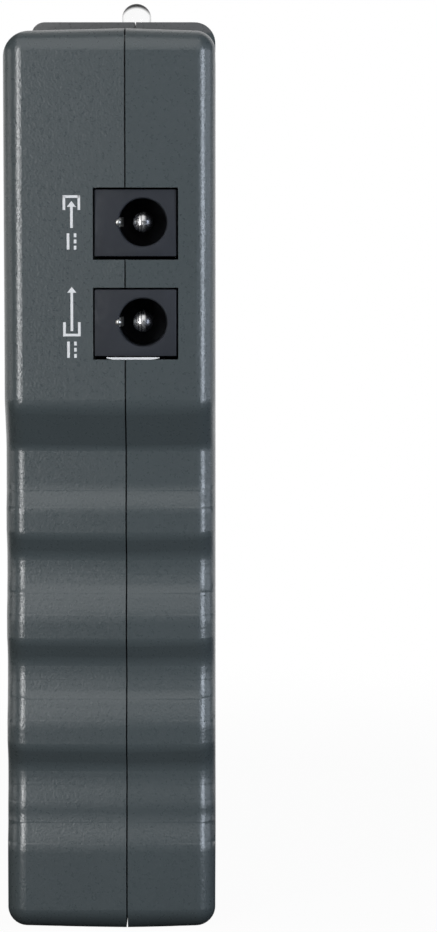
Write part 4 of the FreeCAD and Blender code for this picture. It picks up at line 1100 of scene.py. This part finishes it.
class TESTER_OT_crown_lamp(Builder):
    """Make the clear lamp on the crown with its mirror cup and leads"""
    bl_idname = "tester.crown_lamp"
    bl_label = "Crown lamp"

    def build(self, values):
        look = values.lamp_look
        node = "top_lamp"
        centre = middle(node)
        foot = low(node).z
        flange = extent(node).x / 2
        radius = flange - look.flange
        flange_height = 1.0 * MM
        dome = high(node).z - radius - foot
        profile = [(0, 0), (flange, 0), (flange, flange_height), (radius, flange_height),
                   *quarter_arc(radius, 24, dome)]
        profile[-1] = (0, dome + radius)
        lens = turned_piece("crown_lens", profile, "z", (centre.x, centre.y, foot), clear_lens(),
                            look.sides)
        settle(lens, CASE, "clear_lens", node)
        cup_foot = foot + 0.4 * MM
        cup = [(0, 0), (0.5 * MM, 0), (0.5 * MM, 2.4 * MM), (look.cup_radius, 3.1 * MM),
               (look.cup_radius - 0.12 * MM, 3.1 * MM), (0.4 * MM, 2.55 * MM), (0, 2.55 * MM)]
        core = turned_piece("crown_cup", cup, "z", (centre.x - 0.5 * MM, centre.y, cup_foot),
                            pin_metal(), 32)
        settle(core, CASE, "pin_metal")
        dress(pin_metal(), "top_lamp_leads")


class TESTER_OT_indicators(Builder):
    """Make the two columns of indicator lamps"""
    bl_idname = "tester.indicators"
    bl_label = "Indicator lamps"

    def build(self, values):
        for side, slot in (("left", "lamp_green"), ("right", "lamp_red")):
            nodes = [f"indicator_{side}_{n}" for n in range(1, 5)]
            radius = 1.5 * MM
            flange_radius = 1.9 * MM
            flange_height = 0.9 * MM
            length = extent(nodes[0]).y
            recipe = Recipe(f"indicator_{side}", {"Radius": radius, "Length": length})
            flange = recipe.moved(recipe.rod(flange_radius, flange_height, 48),
                                  y=(length - flange_height) / 2, turn=(QUARTER, 0, 0))
            stem = recipe.moved(recipe.rod(recipe.given("Radius"), length - radius, 48),
                                y=radius / 2, turn=(QUARTER, 0, 0))
            dome = recipe.moved(recipe.node("GeometryNodeMeshUVSphere", {
                "Radius": recipe.given("Radius"), "Segments": 48, "Rings": 24}),
                y=radius - length / 2, turn=(QUARTER, 0, 0))
            whole = recipe.node("GeometryNodeMeshBoolean", {"Mesh 2": [flange, stem, dome]},
                                operation="UNION", solver="EXACT")
            recipe.close(recipe.on_points(whole), plain_finish(slot))
            lenses = recipe.serve(f"lenses_{side}", [middle(node) for node in nodes])
            settle(lenses, CASE, slot, *nodes)
            dress(jack_plastic(), f"lamp_holder_{side}")


class TESTER_OT_key(Builder):
    """Make the test key with its dish"""
    bl_idname = "tester.key"
    bl_label = "Test key"

    def build(self, values):
        look = values.key_look
        node = "test_key"
        centre = middle(node)
        front = low(node).y
        radius = 5.0 * MM
        stem = 1.75 * MM
        brim = 0.35 * MM
        flange = extent(node).x / 2
        flange_back = 4.9 * MM
        flange_front = flange_back - 0.8 * MM
        length = extent(node).y
        inner = radius - look.rim
        dish = [(inner * (1 - n / 8), look.dish * math.sin(QUARTER * n / 8))
                for n in range(1, 9)]
        profile = [(0, length), (stem, length), (stem, flange_back), (flange, flange_back),
                   (flange, flange_front), (radius, flange_front), (radius, brim),
                   *[(radius - brim + x, brim - y) for x, y in quarter_arc(brim, 5)],
                   (inner, 0), *dish]
        profile[-1] = (0, look.dish)
        cap = turned_piece("key_cap", profile, "y", (centre.x, front, centre.z),
                           plain_finish("key_plastic"), 96)
        settle(cap, KEY, "key_plastic", node)
        dress(plain_finish("key_plastic"), "switch_plunger")
        dress(jack_plastic(), "key_switch")


# Radius of head and shank and height of the head, in millimetres.
SCREWS = {"case_screws": (2.6, 1.4, 1.8), "board_screws": (2.1, 1.1, 1.3),
          "door_screw": (2.6, 1.4, 0.6)}


class TESTER_OT_screws(Builder):
    """Make the case, board and door screws with their cross recesses"""
    bl_idname = "tester.screws"
    bl_label = "Screws"

    def build(self, values):
        look = values.screw_look
        for node, sizes in SCREWS.items():
            head, shank, head_height = [size * MM for size in sizes]
            solids = loose_boxes(node)
            length = solids[0][1].y - solids[0][0].y
            recipe = Recipe(node + "_recipe", {
                "Head": head, "Shank": shank, "Height": head_height, "Length": length - head_height,
                "Recess": look.recess_width, "Share": look.recess_share})
            half_height = recipe.given("Height") * 0.5
            disc = recipe.node("GeometryNodeMeshCone", {
                "Vertices": 48, "Radius Bottom": recipe.given("Head"),
                "Radius Top": recipe.given("Head") - half_height,
                "Depth": half_height})
            disc = recipe.moved(disc, z=half_height)
            collar = recipe.moved(recipe.rod(recipe.given("Head"), half_height, 48),
                                  z=half_height * 0.5)
            bar_length = recipe.given("Head") * 2.0 * recipe.given("Share")
            depth = min(look.recess_depth, head_height * 0.8)
            bars = []
            bar_width = recipe.given("Recess")
            for sides in ((bar_length, bar_width), (bar_width, bar_length)):
                bar = recipe.node("GeometryNodeMeshCube", {
                    "Size": recipe.vector(*sides, depth * 2)})
                bars.append(recipe.moved(bar, z=recipe.given("Height")))
            whole = recipe.node("GeometryNodeMeshBoolean", {"Mesh 2": [disc, collar]},
                                operation="UNION", solver="EXACT")
            cut = recipe.node("GeometryNodeMeshBoolean", {"Mesh 1": whole, "Mesh 2": bars},
                              operation="DIFFERENCE", solver="EXACT")
            core = recipe.moved(recipe.rod(recipe.given("Shank"), recipe.given("Length"), 24),
                                z=recipe.given("Length") * -0.5)
            screw = recipe.moved(recipe.joined(cut, core), turn=(-QUARTER, 0, 0))
            recipe.close(recipe.on_points(screw), screw_steel())
            points = [((lo.x + hi.x) / 2, hi.y - head_height, (lo.z + hi.z) / 2)
                      for lo, hi in solids]
            settle(recipe.serve(node + "_made", points), CASE, "screw_steel", node)


def loose_boxes(node):
    """Box of each separate solid of a node."""
    shape = bmesh.new()
    shape.from_mesh(frame["nodes"][node].data)
    bmesh.ops.remove_doubles(shape, verts=shape.verts, dist=WELD)
    left = set(shape.verts)
    boxes = []
    while left:
        stack = [left.pop()]
        found = []
        while stack:
            corner = stack.pop()
            found.append(corner.co.copy())
            for edge in corner.link_edges:
                other = edge.other_vert(corner)
                if other in left:
                    left.remove(other)
                    stack.append(other)
        boxes.append((Vector([min(p[i] for p in found) for i in range(3)]),
                      Vector([max(p[i] for p in found) for i in range(3)])))
    shape.free()
    return boxes


class TESTER_OT_board(Builder):
    """Finish the board, its components and the battery"""
    bl_idname = "tester.board"
    bl_label = "Board and battery"

    def build(self, values):
        dress(board_green(), "main_board")
        dress(plain_finish("chip_black"), "lan_magnetics", "controller_chip", "bridge_rectifier_1",
              "bridge_rectifier_2", "supply_transformer", "power_inductor")
        dress(plain_finish("can_aluminium"), "bulk_capacitor")
        dress(jack_plastic(), "battery_holder")
        dress(pin_metal(), "battery_clips")
        dress(battery_wrap(), "battery")
        dress(foam(), "battery_pad")


class TESTER_OT_stage(Builder):
    """Set the floor, the surround, the lamps and the camera"""
    bl_idname = "tester.stage"
    bl_label = "Stage"

    def build(self, values):
        look = values.stage_look
        scene = bpy.context.scene
        scene.view_settings.view_transform = "Standard"
        self.floor(look)
        self.backdrop()
        self.surround(look)
        target = Vector((0, 0, look.target))
        bluish = (0.8, 0.88, 1.0)
        self.lamp("key_lamp", look.key_power, (0.9, 0.8), (-5, 46), 0.75, target)
        self.lamp("strip_lamp", look.strip_power, (0.06, 0.26), (-26, 3), 0.4, target)
        self.lamp("rim_lamp", look.rim_power, (0.11, 0.24), (42, 3), 0.4, target, bluish)
        self.lamp("side_lamp", look.side_power, (0.35, 0.3), (78, 3), 0.6, target, bluish)
        self.lamp("left_lamp", look.left_power, (0.3, 0.3), (-80, 3), 0.6, target)
        self.lamp("top_lamp_panel", look.top_power, (0.4, 0.4), (180, 72), 0.6, target)
        self.camera(look, scene)

    def floor(self, look):
        """Wide floor that keeps the object's shadow."""
        def lay(shape):
            bmesh.ops.create_grid(shape, x_segments=1, y_segments=1, size=6.0)
        floor = mesh_from("floor", lay)
        f = Finish("floor_white", (0.95, 0.95, 0.95), 0.9)
        seen = f.ray("Camera")
        dull = f.mix(seen, [look.floor_bounce] * 3, f.color)
        f.set("Base Color", f.mix(f.noise(0.4) * 0.02, dull, (0, 0, 0)))
        f.set("Specular IOR Level", 0.0)
        away = f.node("ShaderNodeVectorMath", {0: f.place}, output="Value", operation="LENGTH")
        far = f.ramp(away, look.shadow_reach * 0.4, look.shadow_reach)
        mirrored = f.ramp(f.axis("X"), 0.0, -0.2) * f.ray("Glossy")
        own = seen.math("MAXIMUM", f.ray("Transmission").math("MAXIMUM", mirrored))
        f.shine(own * (far * (1 - look.floor_glow) + look.floor_glow))
        floor.data.materials.append(f.material)

    def backdrop(self):
        """White wall behind the object, which shines only where it is seen or mirrored."""
        def raise_wall(shape):
            shape.faces.new([shape.verts.new(corner) for corner in (
                (-4, -6, 0.002), (-4, 6, 0.002), (-4, 6, 6), (-4, -6, 6))])
        wall = mesh_from("backdrop", raise_wall)
        f = Finish("backdrop_white", (0.3, 0.3, 0.3), 0.9)
        f.set("Base Color", f.shade(f.noise(0.4), 0.02))
        seen = f.ray("Camera").math("MAXIMUM", f.ray("Transmission"))
        f.shine(seen.math("MAXIMUM", f.ray("Glossy")))
        wall.data.materials.append(f.material)

    def surround(self, look):
        """Dim light from all sides, white where the camera sees it."""
        world = bpy.data.worlds.new("surround")
        world.use_nodes = True
        sky = world.node_tree.nodes["Background"]
        tree = Tree(world.node_tree)
        seen = tree.ray("Camera").math("MAXIMUM", tree.ray("Transmission"))
        tree.link(sky.inputs["Color"], (1, 1, 1, 1))
        tree.link(sky.inputs["Strength"],
                  tree.node("ShaderNodeMapRange", {0: seen, 3: look.surround, 4: 1.0}))
        bpy.context.scene.world = world

    def lamp(self, name, power, size, direction, distance, target, color=(1.0, 1.0, 1.0)):
        """Panel of light, placed by its angles from the camera's side and above the floor."""
        data = bpy.data.lights.new(name, "AREA")
        data.shape = "RECTANGLE"
        data.size, data.size_y = size
        data.energy = power
        data.color = color
        lamp = bpy.data.objects.new(name, data)
        turn, rise = [math.radians(angle) for angle in direction]
        toward = Vector((math.cos(turn) * math.cos(rise), math.sin(turn) * math.cos(rise),
                         math.sin(rise)))
        lamp.location = target + toward * distance
        lamp.rotation_mode = "QUATERNION"
        lamp.rotation_quaternion = (-toward).to_track_quat("-Z", "Y")
        bpy.context.scene.collection.objects.link(lamp)

    def camera(self, look, scene):
        """Camera at the angle of the photograph."""
        data = bpy.data.cameras.new("camera")
        data.lens = look.lens
        data.sensor_width = 36.0
        data.clip_start = 0.01
        camera = bpy.data.objects.new("camera", data)
        camera.location = (look.distance, look.side, look.height)
        toward = Vector((-math.cos(look.pitch), 0, -math.sin(look.pitch)))
        camera.rotation_mode = "QUATERNION"
        camera.rotation_quaternion = toward.to_track_quat("-Z", "Y")
        scene.collection.objects.link(camera)
        scene.camera = camera


OPERATORS = (TESTER_OT_case, TESTER_OT_print, TESTER_OT_power_jacks, TESTER_OT_network_jacks,
             TESTER_OT_crown_lamp, TESTER_OT_indicators, TESTER_OT_key, TESTER_OT_screws,
             TESTER_OT_board, TESTER_OT_stage)


class TESTER_PT_panel(bpy.types.Panel):
    """Lists the operators and their values"""
    bl_idname = "TESTER_PT_panel"
    bl_label = "Tester"
    bl_space_type = "VIEW_3D"
    bl_region_type = "UI"
    bl_category = "Tester"

    def draw(self, context):
        for operator in OPERATORS:
            self.layout.operator(operator.bl_idname)
        for group_name, look_class in LOOKS.items():
            box = self.layout.box()
            box.label(text=group_name.replace("_", " "))
            group = getattr(context.scene.tester, group_name)
            for prop in look_class.__annotations__:
                box.prop(group, prop)


CLASSES = (*LOOKS.values(), TesterSettings, *OPERATORS, TESTER_PT_panel)


def register():
    """Make the classes known."""
    for item in CLASSES:
        bpy.utils.register_class(item)
    bpy.types.Scene.tester = PointerProperty(type=TesterSettings)


def unregister():
    """Take the classes away again."""
    del bpy.types.Scene.tester
    for item in reversed(CLASSES):
        bpy.utils.unregister_class(item)


def main():
    """Build every piece in order."""
    register()
    for operator in OPERATORS:
        group, name = operator.bl_idname.split(".")
        getattr(getattr(bpy.ops, group), name)()


if __name__ == "__main__":
    main()
